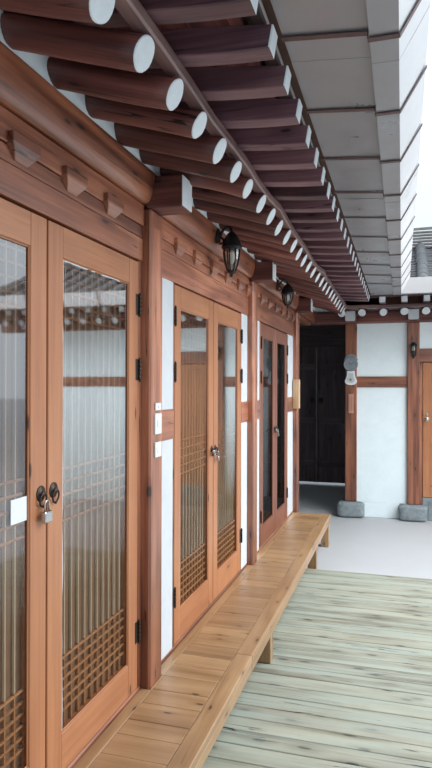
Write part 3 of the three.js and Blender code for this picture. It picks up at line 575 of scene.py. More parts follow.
def glass(name, tint, rough=0.02, gain=2.2, base=0.12, fade=None):
    m = Nodes(name)
    t = m.t
    pos = m.position()
    gl = m.new("BsdfGlossy")
    gl.inputs["Color"].default_value = (0.95, 0.97, 0.98, 1)
    m.link(m.maprange(m.noise(pos, 5.0, 3, 0.6), 0.3, 0.7, rough, rough + 0.03), gl.inputs["Roughness"])
    bn = m.bump(m.noise(pos, 1.3, 1, 0.4), 0.03, 0.004)
    m.link(bn, gl.inputs["Normal"])
    tr = m.new("BsdfTransparent")
    tr.inputs["Color"].default_value = (*tint, 1)
    fr = m.new("Fresnel")
    fr.inputs["IOR"].default_value = 1.52
    mx = m.new("MixShader")
    front = m.math("SUBTRACT", 1.0, m.new("NewGeometry").outputs["Backfacing"])
    f = m.math("MULTIPLY", m.math("MULTIPLY_ADD", fr.outputs[0], gain, base, clamp=True), front)
    if fade:           # the lower part of the panes mirrors darker things
        sp = m.new("SeparateXYZ")
        m.link(pos, sp.inputs[0])
        f = m.math("MULTIPLY", f, m.maprange(sp.outputs[2], fade[0], fade[1], fade[2], 1.0))
    m.link(f, mx.inputs[0])
    m.link(tr.outputs[0], mx.inputs[1])
    m.link(gl.outputs[0], mx.inputs[2])
    m.link(mx.outputs[0], m.out.inputs[0])
    t.nodes.remove(m.b)
    return m.m


GLASS = glass("door_glass", (0.88, 0.85, 0.80), 0.015, 2.6, 0.17, (0.95, 1.7, 0.07))
GLASSD = glass("door_glass_dark", (0.36, 0.37, 0.39), 0.03, 0.55, 0.035, (0.95, 1.7, 0.4))
LAMPGLASS = glass("lantern_glass", (0.75, 0.74, 0.68), 0.15, 1.5, 0.04)
BULB = painted("lamp_bulb_white", (0.8, 0.8, 0.76), 0.3, 0, 0.05, 30.0, 0.05)
CLOCKCASE = painted("clock_case_grey", (0.26, 0.30, 0.33), 0.4, 0.2, 0.2, 30.0, 0.25, 0.25, (0.2, 0.2, 0.2))
CLOCKPANEL = painted("clock_panel", (0.50, 0.58, 0.62), 0.4, 0, 0.1, 30.0, 0.1)
PLATEW = wood("plate_reddish_wood", (0.34, 0.165, 0.115), (0.46, 0.235, 0.165), (0.55, 0.30, 0.215), (0.4, 0.55), 3, 0.2, 0.2, 0.1, 0.2, 0.03, bump=0.2)
BOXW = wood("box_pale_wood", (0.44, 0.27, 0.15), (0.58, 0.38, 0.22), (0.68, 0.47, 0.29), (0.4, 0.55), 3, 0.3, 0.2, 0.1, 0.2, 0.03, bump=0.2)
BEDM = painted("roof_bed_boards", (0.10, 0.045, 0.028), 0.75, 0, 0.35, 6.0, 0.4, 0.3, (0.05, 0.025, 0.018))


def done(ob, body="root", replaces=()):
    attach(ob, body)
    if replaces:
        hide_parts(*replaces)
    return ob


# ---------------------------------------------------------------------------
# sizes shared with the CAD source (mm)
# ---------------------------------------------------------------------------
RIDGE_X, RIDGE_Y = -1300.0, 9645.0
DIAG = RIDGE_X + RIDGE_Y
ROOF_S, ROOF_E = 400.0, 4875.0
POST_Y = [978, 2710, 4760, 6860]
LEAVES = [[1094, 1839], [1849, 2594], [3070, 3767], [3777, 4474], [5159, 5776], [5786, 6403]]
ZL0, LEAF_TOP = 345, [2281, 2253, 2253]
GLASS_Z = [(486, 2170), (510, 2135), (510, 2135)]
STILE = 95
BLOCK_Y = [[1345, 1656, 1965, 2290], [3080, 3390, 3711, 4045, 4370, 4622], [5120, 5430, 5740, 6050, 6360, 6670]]
END_POSTS = [508, 1289, 2380, 4300]


def rz(d):
    return 2625 + 0.3 * (1780 - d)


frontY = np.arange(1077, 7700, 243.0)
westY = np.arange(1077, 10880, 250.0)
endX = np.arange(425, 4200, 250.0)
northX = np.arange(-2575, 4200, 250.0)
gableY, gableX = [591, 834], [4450, 4700]
jackY, jackX = [11095, 11345], [-2750, -3000]


def prism(kit, poly, axis, a, b, bevel=3.0, mat=0, tone=None, edge_mats=None, grain="axis"):
    """Outline poly carried along an axis from a to b with eased end edges.
    poly is (y, z) for axis x, (x, z) for axis y, (x, y) for axis z. edge_mats gives an edge's own material."""
    P = np.asarray(poly, float)
    c = (P.max(0) + P.min(0)) / 2
    h = (P.max(0) - P.min(0)) / 2
    inner = c + (P - c) * (1 - bevel / h)
    secs = [(a, inner), (a + bevel, P), (b - bevel, P), (b, inner)]
    n = len(P)
    V, G = [], []
    for s, Q in secs:
        for u, w in Q:
            V.append({"x": (s, u, w), "y": (u, s, w), "z": (u, w, s)}[axis])
            G.append((s, u, w) if grain == "axis" else (u, s, w) if grain == "u" else (w, u, s))
    G = np.array(G) + rng.random(3) * np.array([4000, 900, 900])
    j = np.arange(n)
    k = (j + 1) % n
    t = rng.random() if tone is None else tone
    base = kit.n
    allq = np.concatenate([np.stack([i * n + j, i * n + k, (i + 1) * n + k, (i + 1) * n + j], 1) for i in range(3)])
    if edge_mats:
        special = np.zeros(len(allq), bool)
        for e, m in edge_mats.items():
            sel = (np.arange(len(allq)) % n) == e
            special |= sel
        kit.add(V, [allq[~special]], G, mat, False, t)
        for e, m in edge_mats.items():
            kit.polys.setdefault((4, m, False), []).append(allq[(np.arange(len(allq)) % n) == e] + base)
    else:
        kit.add(V, [allq], G, mat, False, t)
    kit.polys.setdefault((n, mat, False), []).append(np.arange(n)[None] + base)
    kit.polys.setdefault((n, mat, False), []).append(np.arange(n)[None] + base + 3 * n)


def outward(ob):
    import bmesh
    bm = bmesh.new()
    bm.from_mesh(ob.data)
    bmesh.ops.recalc_face_normals(bm, faces=bm.faces)
    bm.to_mesh(ob.data)
    bm.free()
    return ob


def boulder(kit, cx, cy, z0, z1, ax, ay, mat=0, e=0.42, rough=0.06):
    """A rough field stone with a flat top and bottom."""
    nu, nv = 40, 22
    ph = rng.random((10, 4)) * 6.28
    kk = rng.normal(size=(10, 3)) * np.array([2.2] * 3)
    u = np.arange(nu) / nu * 2 * np.pi
    v = np.linspace(-np.pi / 2, np.pi / 2, nv)[1:-1]
    sg = lambda a, p: np.sign(a) * np.abs(a) ** p
    rows = []
    for w in v:
        x = sg(np.cos(w), 0.32) * sg(np.cos(u), e)
        y = sg(np.cos(w), 0.32) * sg(np.sin(u), e)
        z = np.full(nu, sg(np.sin(w), 0.34))
        rows.append(np.stack([x, y, z], 1))
    P = np.concatenate(rows)
    d = np.zeros(len(P))
    for i in range(10):
        d += np.sin(P @ (kk[i] * (1 + i * 0.55)) + ph[i, 0]) / (1 + i * 0.6)
    P = P * (1 - rough * (1.2 + d[:, None] * 0.55) * np.array([1, 1, 0.35]))
    P[:, :2] = np.clip(P[:, :2], -1, 1)
    P[:, 2] = np.clip(P[:, 2], -1, 1)
    V = P * np.array([ax, ay, (z1 - z0) / 2]) + np.array([cx, cy, (z0 + z1) / 2])
    n = len(v)
    j = np.arange(nu)
    k = (j + 1) % nu
    quads = np.concatenate([np.stack([i * nu + j, i * nu + k, (i + 1) * nu + k, (i + 1) * nu + j], 1) for i in range(n - 1)])
    base = kit.n
    kit.add(V, [quads], V, mat, True, rng.random())
    kit.polys.setdefault((nu, mat, True), []).append(np.arange(nu)[::-1][None] + base)
    kit.polys.setdefault((nu, mat, True), []).append((np.arange(nu) + (n - 1) * nu)[None] + base)


# ---------------------------------------------------------------------------
# west wing front: posts, strips, lintel, purlin
# ---------------------------------------------------------------------------
STRIPS = {1: [(2785 - 5, 3052, 3052, 3064)], 2: [(4492, 4690, 4480, 4492), (4830, 5110, 5110, 5153)], 3: [(6450, 6790, 6409, 6450)]}
for i, y in enumerate(POST_Y):
    k = Kit()
    bar(k, -105, 45, y - 75, y + 75, 225.3, 2464.7, 9, "z")
    bar(k, -20, 44.6, y - 74.6, y + 74.6, 2440, 2532.4, 8, "z", 0, 0.4)
    if i == 0:
        bar(k, -95, -1, y + 70, 1088, 338.3, 2289.7, 4, "z")
    if i == 1:
        bar(k, -95, -1, 2600, y - 70, 338.3, 2289.7, 4, "z")
    p = Kit()
    for a, b, j0, j1 in STRIPS.get(i, []):
        bar(k, -95, 0, j0, j1, 338.3, 2261.7, 4, "z")
        bar(k, -70, 4, min(a, j1) if j0 < a else a, max(b, j0) if j1 > b else b, 1440, 1595, 3, "y")
        bar(p, -70, -3, a, b, 338.3, 2261.7, 1, "z")
    done(outward(k.build(f"west_post_{i + 1}", [FRONTW])), "root", [f"wing_post_{i + 1}"])
    if STRIPS.get(i):
        done(outward(p.build(f"west_strip_{i + 1}", [PLASTER2])), "root")



def block_at(k, y, tone):
    lev = [(2411, 34, 8), (2413, 36, 9.5), (2430, 51, 20), (2448, 69, 29.5), (2457, 74, 31.5), (2485, 74.5, 31.5), (2487, 73, 30)]
    V, G = [], []
    for z, hw, f in lev:
        for a, b in ((-60, -hw), (f - 2.5, -hw), (f, -hw + 2.5), (f, hw - 2.5), (f - 2.5, hw), (-60, hw)):
            V.append((a, y + b, z))
            G.append((b, z, a))
    m = 6
    j = np.arange(m)
    kk = (j + 1) % m
    n = len(lev)
    quads = np.concatenate([np.stack([i * m + j, i * m + kk, (i + 1) * m + kk, (i + 1) * m + j], 1) for i in range(n - 1)])
    base = k.n
    k.add(V, [quads], np.array(G) + rng.random(3) * np.array([4000, 900, 900]), 0, False, tone)
    k.polys.setdefault((m, 0, False), []).append(np.arange(m)[::-1][None] + base)
    k.polys.setdefault((m, 0, False), []).append((np.arange(m) + (n - 1) * m)[None] + base)


k = Kit()
edge = [(y - 75, y + 75) for y in POST_Y]
bays = [(edge[0][1] + 0.3, edge[1][0] - 0.3), (edge[1][1] + 0.3, edge[2][0] - 0.3), (edge[2][1] + 0.3, edge[3][0] - 0.3)]
bar(k, -100, -20.6, 460, 6929.7, 2465.3, 2511, 2, "y", 0, 0.55)
for a, b in zip([460] + [e[1] + 0.4 for e in edge[:3]], [e[0] - 0.4 for e in edge]):
    bar(k, -19, 11, a, b, 2452, 2548, 2.5, "y", 0, 0.45 + 0.3 * rng.random())
for i, (a, b) in enumerate(bays):
    bar(k, -100, 6, a, b, (2290, 2262, 2262)[i], 2393.5, 2, "y", 0, (0.75, 0.70, 0.66)[i])
    bar(k, -80, 4, a, b, 2397.5, 2448.5, 2, "y", 0, 0.42)
    bar(k, -80, -14, a, b, 2385, 2470, 2, "y", 0, 0.1)
    for y in BLOCK_Y[i]:
        y = y + rng.normal() * 4
        block_at(k, y + 20, 0.1 + 0.2 * rng.random())
done(outward(k.build("west_lintel", [FRONTW])), "root", ["wing_lintel"])

# purlin: a long log hewn to one broad face and a little wave
k = Kit()
sect = [(-105, 2523), (-99, 2517.5), (-24, 2517.5), (-20.3, 2520), (-20.3, 2553.2), (12, 2553.2), (24, 2555), (37, 2567), (48, 2592), (55.5, 2622), (60.5, 2655), (63.5, 2686), (62, 2691.5), (56, 2694.6), (-90, 2694.6), (-105, 2685)]
st = np.concatenate([[450, 453], np.linspace(600, 8150, 40), [8277, 8279.7]])
wave = smooth_noise(len(st), 14, 2.2)
wz = smooth_noise(len(st), 12, 2.0)
cx, cz = -20.0, 2606.0


def purlin_pt(d, z, s):
    i = int(np.argmin(np.abs(st - s)))
    e = 0.94 if s in (st[0], st[-1]) else 1.0
    x = cx + (d - cx) * e
    zz = cz + (z - cz) * e
    if d > 0:
        x = min(x - abs(wave[i]) * (1 if zz < 2690 else 0.3), 65)
    return (x, s, min(max(zz + (wz[i] * 0.5 if 2530 < zz < 2680 else 0), 2517.4), 2694.9))


sweep(k, sect, purlin_pt, st, 0, 0.55, True, True)
q = Kit()
for y in POST_Y:
    prism(q, [(y - 70, 2540), (y - 64, 2534), (y + 64, 2534), (y + 70, 2540), (y + 70, 2675), (y + 65, 2680), (y - 65, 2680), (y - 70, 2675)], "x", 20, 193.4, 3, 0, 0.25)
    prism(q, [(y - 66, 2542), (y - 62, 2538), (y + 62, 2538), (y + 66, 2542), (y + 66, 2673), (y + 62, 2677), (y - 62, 2677), (y - 66, 2673)], "x", 190, 195, 1.2, 1, 0.5)
done(outward(k.build("west_purlin", [TIMBER])), "root", ["wing_purlin"])
# the heads take the darker rafter wood: painted shade on their sides
done(outward(q.build("west_beam_heads", [RAFTER, PAINT])), "root")
k = Kit()
prism(k, [(-90, 2690), (50, 2690), (50, 2794), (-2, 2811), (-90, 2821)], "y", 903, 8279.7, 1)
done(outward(k.build("west_eaves_plaster", [PLASTER])), "root")


# ---------------------------------------------------------------------------
# rafters
# ---------------------------------------------------------------------------
def wave_board(k, pts, w, h, amp, knots, mat=0, tone=None, up=(0, 0, 1)):
    """A long board with a slight wave, from pts[0] to pts[1]."""
    a, b = np.asarray(pts[0], float), np.asarray(pts[1], float)
    L = np.linalg.norm(b - a)
    ex, ey, ez = frame_of(b - a, up)
    n = max(8, int(L / 120))
    s = np.linspace(0, L, n)
    wy, wz = smooth_noise(n, knots, amp), smooth_noise(n, knots, amp * 0.8)
    ww = 1 + smooth_noise(n, knots, 0.02)
    c = 6.0
    sec = np.array([(-w / 2 + c, -h / 2), (w / 2 - c, -h / 2), (w / 2, -h / 2 + c), (w / 2, h / 2 - c), (w / 2 - c, h / 2), (-w / 2 + c, h / 2), (-w / 2, h / 2 - c), (-w / 2, -h / 2 + c)])
    V, G = [], []
    for i in range(n):
        for y, z in sec:
            yy, zz = y * ww[i] + wy[i], z + wz[i]
            V.append(a + s[i] * ex + yy * ey + zz * ez)
            G.append((s[i], y, z))
    G = np.array(G) + rng.random(3) * np.array([4000, 900, 900])
    m = len(sec)
    j = np.arange(m)
    kk = (j + 1) % m
    quads = np.concatenate([np.stack([i * m + j, i * m + kk, (i + 1) * m + kk, (i + 1) * m + j], 1) for i in range(n - 1)])
    base = k.n
    k.add(V, [quads], G, mat, False, tone)
    k.polys.setdefault((m, mat, False), []).append(np.arange(m)[::-1][None] + base)
    k.polys.setdefault((m, mat, False), []).append((np.arange(m) + (n - 1) * m)[None] + base)


def W(d, y, z):      # court side of the west wing
    return (RIDGE_X + d, y, z)


def N(d, x, z):      # court side of the north wing
    return (x, RIDGE_Y - d, z)


def WO(d, y, z):
    return (RIDGE_X - d, y, z)


def NO(d, x, z):
    return (x, RIDGE_Y + d, z)


def rafter_row(k, F, stations, d_in, d_out, end_mat=1, full=()):
    for s in list(stations):
        a = F(d_out - rng.random() * 10, s + rng.normal() * 3, rz(d_out) - 1)
        b = F(d_in, s + rng.normal() * 2, rz(d_in))
        r = 47.5 + rng.random() * 2.5
        pole(k, a, b, r, r + 1, 22, 9, 3.0, 1.4, 0, end_mat, None, cut=0.2)
    for s in full:
        a = F(d_out - 2, s, rz(d_out))
        b = F(35, s, rz(35))
        pole(k, a, b, 48, 50, 22, 14, 3.0, 1.4, 0, end_mat, None, cut=0.2)


k = Kit()
rafter_row(k, W, frontY, 1240, 1779, 1, gableY)
wave_board(k, [(472, 421, 2695), (472, 7829, 2695)], 50, 42, 5.0, 30, 2, 0.8)
done(outward(k.build("west_front_rafters", [RAFTER, PAINT, EAVEB])), "root", ["wing_rafters"])
k = Kit()
rafter_row(k, N, endX, 1240, 1779, 1, gableX)
wave_board(k, [(376, 7873, 2695), (4854, 7873, 2695)], 52, 42, 3.0, 16, 2, 0.6)
done(outward(k.build("north_front_rafters", [RAFTER, PAINT, EAVEB])), "root", ["end_rafters"])


def flyers(k, F, stations, swap):
    zc = lambda d: 2770 - 0.114 * (d - 1750)
    for s in stations:
        s = s + rng.normal() * 3
        w = 36 + rng.normal() * 0.6
        drop = 10 + rng.random() * 7
        dn = [(1556, 43), (1700, 43), (1850, 43 - 1), (1960, 43 - drop * 0.35), (2040, 43 - drop * 0.75), (2078, 43 - drop)]
        poly = [(d, zc(d) - h) for d, h in dn] + [(2089.5, zc(2089) + 40), (1900, zc(1900) + 42.5), (1556, zc(1556) + 42.5)]
        if swap:
            P = [(RIDGE_Y - d, z) for d, z in poly]
            prism(k, P, "x", s - w, s + w, 4, 0, None, {5: 1}, "u")
        else:
            P = [(RIDGE_X + d, z) for d, z in poly]
            prism(k, P, "y", s - w, s + w, 4, 0, None, {5: 1}, "u")


k = Kit()
flyers(k, W, gableY + [y for y in frontY if y < 7520], False)
# the board on the flying rafters is near black: painted shade
wave_board(k, [(744, 412, 2795), (744, 7538, 2795)], 44, 36, 1.2, 16, 2, 0.35)
done(outward(k.build("west_flying_rafters", [FLYER, PAINT, DARKB])), "root", ["wing_flying_rafters"])
k = Kit()
flyers(k, N, [x for x in endX if x > 850] + gableX, True)
# the board on the flying rafters is near black: painted shade
wave_board(k, [(724, 7601, 2795), (4864, 7601, 2795)], 44, 36, 1.2, 10, 2, 0.35)
done(outward(k.build("north_flying_rafters", [FLYER, PAINT, DARKB])), "root", ["end_flying_rafters"])

# the outer sides, with the corner beam
k = Kit()
rafter_row(k, WO, westY, 1240, 1999, 1, gableY)
for y in jackY:
    pole(k, WO(1998, y, rz(1998)), WO(y - RIDGE_Y + 40, y, rz(y - RIDGE_Y + 40)), 48, 49, 22, 5, 1.5, 1.2, 0, 1, None)
s0, s1 = 1374.0, 2010.0
ax = np.array([-1.0, 1.0, 0]) / math.sqrt(2)
a = np.array([RIDGE_X - s1, RIDGE_Y + s1, rz(s1) - 49])
b = np.array([RIDGE_X - s0, RIDGE_Y + s0, rz(s0) - 49])
member(k, b, a, 118, 136, 8)
member(k, a - ax * 3, a + ax * 0.5, 112, 130, 1, (0, 0, 1), 1)
wave_board(k, [(-3295, 421, 2640.5), (-3295, 11669, 2640.5)], 56, 52, 1.0, 24, 2, 0.4)
done(outward(k.build("west_back_rafters", [RAFTER, PAINT, TIMBER])), "root", ["west_rafters"])
k = Kit()
rafter_row(k, NO, northX, 1240, 1999, 1, gableX)
for x in jackX:
    pole(k, NO(1998, x, rz(1998)), NO(RIDGE_X - x + 40, x, rz(RIDGE_X - x + 40)), 48, 49, 22, 5, 1.5, 1.2, 0, 1, None)
wave_board(k, [(-3262, 11640, 2640.5), (4854, 11640, 2640.5)], 56, 52, 1.0, 18, 2, 0.4)
done(outward(k.build("north_back_rafters", [RAFTER, PAINT, TIMBER])), "root", ["north_rafters"])

# ---------------------------------------------------------------------------
# metal eaves plate and gutter, in overlapping lengths, with straps round it
# ---------------------------------------------------------------------------
GUT = [(797, 2792), (926, 2781), (1056, 2770), (1056, 2748), (1140, 2748), (1186, 2826), (1229, 2902), (1232, 2907), (1225, 2909), (1136, 2754), (1062, 2754), (1062, 2776), (926, 2787), (797, 2798)]


def gutter_run(k, s0, s1, pt, step, first):
    cuts = [s0] + list(np.arange(s0 + first, s1 - 200, step)) + [s1]
    for i in range(len(cuts) - 1):
        a, b = cuts[i], cuts[i + 1] + (8 if i < len(cuts) - 2 else 0)
        o = 0.9 if i % 2 else 0.0
        n = 5
        dent = rng.normal(size=(n, len(GUT))) * 1.0
        sts = np.linspace(a, b, n)
        V, G = [], []
        for q, s in enumerate(sts):
            for m, (x, z) in enumerate(GUT):
                zz = z + o
                if m in (1, 12):
                    zz += dent[q, 1]
                if m in (5, 6):
                    zz += dent[q, 5] * 0.5
                V.append(pt(x, s, zz, i == len(cuts) - 2 and q == n - 1))
                G.append((s, x, z))
        m = len(GUT)
        j = np.arange(m)
        kk = (j + 1) % m
        quads = np.concatenate([np.stack([q * m + j, q * m + kk, (q + 1) * m + kk, (q + 1) * m + j], 1) for q in range(n - 1)])
        base = k.n
        # the outer faces take the paler metal: painted light
        lip = np.isin(np.arange(len(quads)) % m, (4, 5, 6, 7))
        k.add(V, [quads[~lip]], G, 0, False, rng.random())
        k.polys.setdefault((4, 2, False), []).append(quads[lip] + base)
        k.polys.setdefault((m, 0, False), []).append(np.arange(m)[::-1][None] + base)
        k.polys.setdefault((m, 0, False), []).append((np.arange(m) + (n - 1) * m)[None] + base)


def strap_at(k, s, pt, w=12.0):
    path = [(792, 2788), (1052, 2766), (1053, 2745), (1142, 2745), (1234.5, 2901)]
    off = [(792, 2785.5), (1049.6, 2763.8), (1050.6, 2742.6), (1143.6, 2742.6), (1236.8, 2899.8)]
    sec = path + off[::-1]
    V, G = [], []
    for q in (s - w, s + w):
        for x, z in sec:
            V.append(pt(x, q, z, False))
            G.append((x, q, z))
    n = len(sec)
    h = n // 2
    quads = [[j, (j + 1) % n, n + (j + 1) % n, n + j] for j in range(n)]
    quads += [[j, j + 1, n - 2 - j, n - 1 - j] for j in range(h - 1)]
    quads += [[n + j, n + n - 1 - j, n + n - 2 - j, n + j + 1] for j in range(h - 1)]
    k.add(V, [np.array(quads)], G, 1, False, 0.5)


k = Kit()
PTW = lambda x, s, z, last: (x, DIAG - x - 0.3 if last else s, z)
gutter_run(k, 400, 7105, PTW, 783, 853)
for s in np.arange(828, 7100, 528.0):
    strap_at(k, s, PTW)
done(outward(k.build("west_gutter", [METAL, STRAP, LIPM])), "root", ["wing_gutter"])
k = Kit()
PTN = lambda x, s, z, last: ((x + 0.3) if last else s, DIAG - x, z)
gutter_run(k, -4875, -1240, lambda x, s, z, last: ((x + 0.3) if last else -s, DIAG - x, z), 783, 700)
for s in np.arange(1500, 4800, 528.0):
    strap_at(k, s, lambda x, q, z, last: (q, DIAG - x, z))
done(outward(k.build("north_gutter", [METAL, STRAP, LIPM])), "root", ["end_gutter"])

# ---------------------------------------------------------------------------
# bench porch and deck
# ---------------------------------------------------------------------------
k = Kit()
x0, x1 = 45.3, 412
for i in range(3):
    bar(k, 0.6, 53.2, POST_Y[i] + 75.5, POST_Y[i + 1] - 75.5, 287, 324.6, 3, "y", 0, (1.0, 0.95, 0.9)[i])
for y in POST_Y[:3]:
    bar(k, x0, 53.2, max(930, y - 75.3), y + 75.3, 287, 324.4, 2, "y", 0, 0.6)
for a, b, t in ((930, 3119, 0.8), (3121, 6790, 0.72)):
    bar(k, 326, x1, a, b, 287, 325, 4, "y", 0, t)
    bar(k, 367, x1 - 1.5, a, b, 237, 286.5, 3, "y", 0, t - 0.1)
y = 932.0
while y < 6780:
    w = 108 + rng.random() * 34
    e = min(y + w, 6788)
    if 6788 - e < 50:
        e = 6788
    bar(k, 54.6, 324.8, y, e - 1.6, 287.5, 323.6 + rng.random() * 1.2, 2.2, "x", 0, rng.random())
    y = e
for y in (1350, 3650, 5700, 6690):
    z0 = 70.3 if y < 5550 else 0
    bar(k, 327, 407, y - 40, y + 40, z0, 288, 4, "z", 0, 0.6)
    bar(k, x0, 366, y - 30, y + 30, 237, 286.8, 4, "x", 0, 0.4)
done(outward(k.build("porch_bench", [PINE])), "root", ["bench"])

k = Kit()
y = 930.0
while y < 5595:
    w = 116 + rng.random() * 10
    e = min(y + w, 5600)
    if 5600 - e < 40:
        e = 5600
    t = rng.random()
    j = 290 + (2380 - 290) * (0.25 + 0.5 * rng.random())
    wz_ = rng.random() * 1.5
    bar(k, 290, 2380, y, e - 5.0, 44, 68.4 + wz_, 3, "x", 0, t)
    y = e
for x in (310, 820, 1330, 1840, 2350):
    bar(k, x - 22, x + 22, 935, 5595, 0, 44, 3, "y", 0, 0.2)
done(outward(k.build("deck_boards", [DECKW])), "root", ["courtyard_deck"])

# ---------------------------------------------------------------------------
# glazed leaves: frame, bead, slats and paper behind the glass, iron fittings
# ---------------------------------------------------------------------------
def ring_pull(k, x, y, z, r=27, mat=0):
    """Iron rose with a staple and a hanging ring, on a face at x looking to +X."""
    lathe(k, (x - 0.5, y, z), (1, 0, 0), [(0, r), (2.2, r), (4.2, r * 0.86), (4.6, r * 0.5), (8.5, r * 0.36), (13, r * 0.30), (15, r * 0.18), (16.5, 0.4)], 18, mat)
    th = np.linspace(0, np.pi * 2, 27)[:-1]
    pts = [(x + 10 + 2 * np.cos(t), y + 19 * np.sin(t), z - 20 + 22 * np.cos(t)) for t in th]
    tube(k, pts, 3.4, 8, mat, True)
    lathe(k, (x + 10, y - 3.6, z - 42), (0, 1, 0), [(0, 2.4), (1, 4.6), (6, 4.6), (7.2, 2.4)], 10, mat)


def hinge_at(k, y, z, side, mat=0):
    """Knuckle on the pin at x = 8, with the plate on the leaf's edge; side is +1 when the leaf is at larger y."""
    h = 96
    for q in range(5):
        a = z - h / 2 + q * h / 5
        lathe(k, (7, y, a + 0.5), (0, 0, 1), [(0, 5.6), (0.7, 6.4), (h / 5 - 1.7, 6.4), (h / 5 - 1.0, 5.6)], 14, mat)
    for s in (-1, 1):
        lathe(k, (7, y, z + s * h / 2), (0, 0, s), [(0, 4.2), (3, 4.6), (6, 3.4), (8.5, 0.6)], 12, mat)
    a, b = (y + 3, y + 6 + 26) if side > 0 else (y - 6 - 26, y - 3)
    bar(k, -0.6, 1.9, a, b, z - h / 2, z + h / 2, 0.7, "z", mat)
    for dz in (-30, 0, 30):
        lathe(k, (1.6, (a + b) / 2 + 4 * side, z + dz), (1, 0, 0), [(0, 3.4), (0.9, 3.1), (1.3, 1.6)], 10, mat)


def padlock(k, x, y, z, wide=42, tall=36, mat=0):
    """Body hanging under the rings with a bent shackle."""
    sec = [(-wide / 2 + 4, 0), (wide / 2 - 4, 0), (wide / 2, 4), (wide / 2, tall - 4), (wide / 2 - 4, tall), (-wide / 2 + 4, tall), (-wide / 2, tall - 4), (-wide / 2, 4)]
    prism(k, [(y + a, z + b) for a, b in sec], "x", x, x + 17, 2.5, mat, 0.5)
    t = np.linspace(0, np.pi, 15)
    pts = [(x + 8.5, y - 13, z + tall - 3)] + [(x + 8.5, y - 13 * np.cos(q), z + tall + 22 + 13 * np.sin(q)) for q in t] + [(x + 8.5, y + 13, z + tall - 3)]
    tube(k, pts, 3.1, 9, mat)
    lathe(k, (x + 8.5, y, z + 1), (0, 0, -1), [(0, 6), (1.6, 6), (2.0, 4)], 14, mat)


for i, (y0, y1) in enumerate(LEAVES):
    n = i + 1
    body = f"leaf_{n}"
    pin_low = i % 2 == 0                       # hinged at its low-y edge
    gz0, gz1 = GLASS_Z[i // 2]
    ZL1 = LEAF_TOP[i // 2]
    k = Kit()
    t = 0.45 + 0.25 * rng.random()
    bar(k, -40, 0, y0, y0 + STILE, ZL0, ZL1, 2.6, "z", 0, t)
    bar(k, -40, 0, y1 - STILE, y1, ZL0, ZL1, 2.6, "z", 0, t + 0.08)
    bar(k, -39.6, -0.5, y0 + STILE - 0.2, y1 - STILE + 0.2, gz1, ZL1 - 0.3, 1.6, "y", 0, t - 0.1)
    bar(k, -39.6, -0.5, y0 + STILE - 0.2, y1 - STILE + 0.2, ZL0 + 0.3, gz0, 1.6, "y", 0, t + 0.1)
    gy0, gy1 = y0 + STILE, y1 - STILE
    # bead that holds the glass
    for a, b in ((gy0, gy0 + 7), (gy1 - 7, gy1)):
        bar(k, -9.6, -3.5, a - 0.2, b + 0.2, gz0, gz1, 2.2, "z", 0, 0.05)
    for a, b in ((gz0, gz0 + 7), (gz1 - 7, gz1)):
        bar(k, -9.6, -3.5, gy0 + 6.5, gy1 - 6.5, a - 0.2, b + 0.2, 2.2, "y", 0, 0.05)
    done(outward(k.build(f"leaf_frame_{n}", [DOORW if n < 5 else DOORR])), body, [f"door_leaf_{n}"])
    # slats and paper
    k = Kit()
    wide = gy1 - gy0
    m = int(round(wide / 49.0))
    for q in range(1, m):
        y = gy0 + wide * q / m
        tq = 0.4 + 0.5 * rng.random()
        bar(k, -31, -20, y - 3.6, y + 3.6, gz0 + 0.5, 744, 1.2, "z", 0, tq)
        bar(k, -31, -20, y - 3.0, y + 3.0, 744.2, gz1 - 0.5, 1.2, "z", 2, tq)
    lo = [544 + 38 * q for q in range(6)] if i < 2 else [543 + 38 * q for q in range(6)]
    for zs_ in (lo, [1229 + 46.75 * q for q in range(5)], [gz1 - 206 + 46.25 * q for q in range(5)]):
        for z in zs_:
            bar(k, -30.2, -19.4, gy0 + 0.5, gy1 - 0.5, z - 4.5, z + 4.5, 1.2, "y", 0, 0.2 + 0.5 * rng.random())
    bar(k, -35, -31.4, gy0 + 0.4, gy1 - 0.4, gz0 + 0.4, gz1 - 0.4, 0.5, "z", 1, 0.5)
    done(outward(k.build(f"leaf_slats_{n}", [LATTICE, PAPER, SLAT])), body)
    # fittings
    k = Kit()
    py = y0 - 6 if pin_low else y1 + 6
    for z in (2085, 1790, 600):
        hinge_at(k, py, z, 1 if pin_low else -1, 0)
    my = y1 - 34 if pin_low else y0 + 34
    if n in (1, 2):
        ring_pull(k, 0, my, 1358, 27, 0)
    else:
        ring_pull(k, 0, my, 1318, 21, 0)
    done(outward(k.build(f"leaf_iron_{n}", [IRON])), body)
    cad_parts[f"door_glass_{n}"].data.materials.clear()
    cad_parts[f"door_glass_{n}"].data.materials.append(GLASS if n < 5 else GLASSD)

k = Kit()
padlock(k, 12, 1811, 1263, 44, 38, 0)
done(outward(k.build("padlock_1", [STEEL])), "leaf_1")
k = Kit()
bar(k, -9.4, -7.6, 1652, 1738, 1284, 1362, 0.6, "y", 0, 0.5)
done(outward(k.build("blank_card", [PLASTIC])), "leaf_1")
k = Kit()
ya, yb = LEAVES[1][0] + STILE, LEAVES[1][1] - STILE
n = 60
zz = np.linspace(490, 2166, n)
wob = smooth_noise(n, 18, 0.9)
tube(k, [(-5.6 + 0.4 * w, ya + 6 + w, z) for w, z in zip(wob, zz)], 2.2, 6, 0, False, 0.5, 1 + 0.25 * smooth_noise(n, 25, 1.0).clip(-1.5, 1.5))
for a, b in ((ya + 8, ya + 190), (ya + 214, ya + 246), (ya + 300, ya + 470)):
    n = 16
    wob = smooth_noise(n, 5, 0.8)
    tube(k, [(-5.6, y, 2163 + w) for y, w in zip(np.linspace(a, b, n), wob)], 2.4, 6, 0, False, 0.5, np.concatenate([[0.4], np.ones(n - 2), [0.3]]))
done(outward(k.build("sealant_2", [PLASTIC])), "leaf_2")
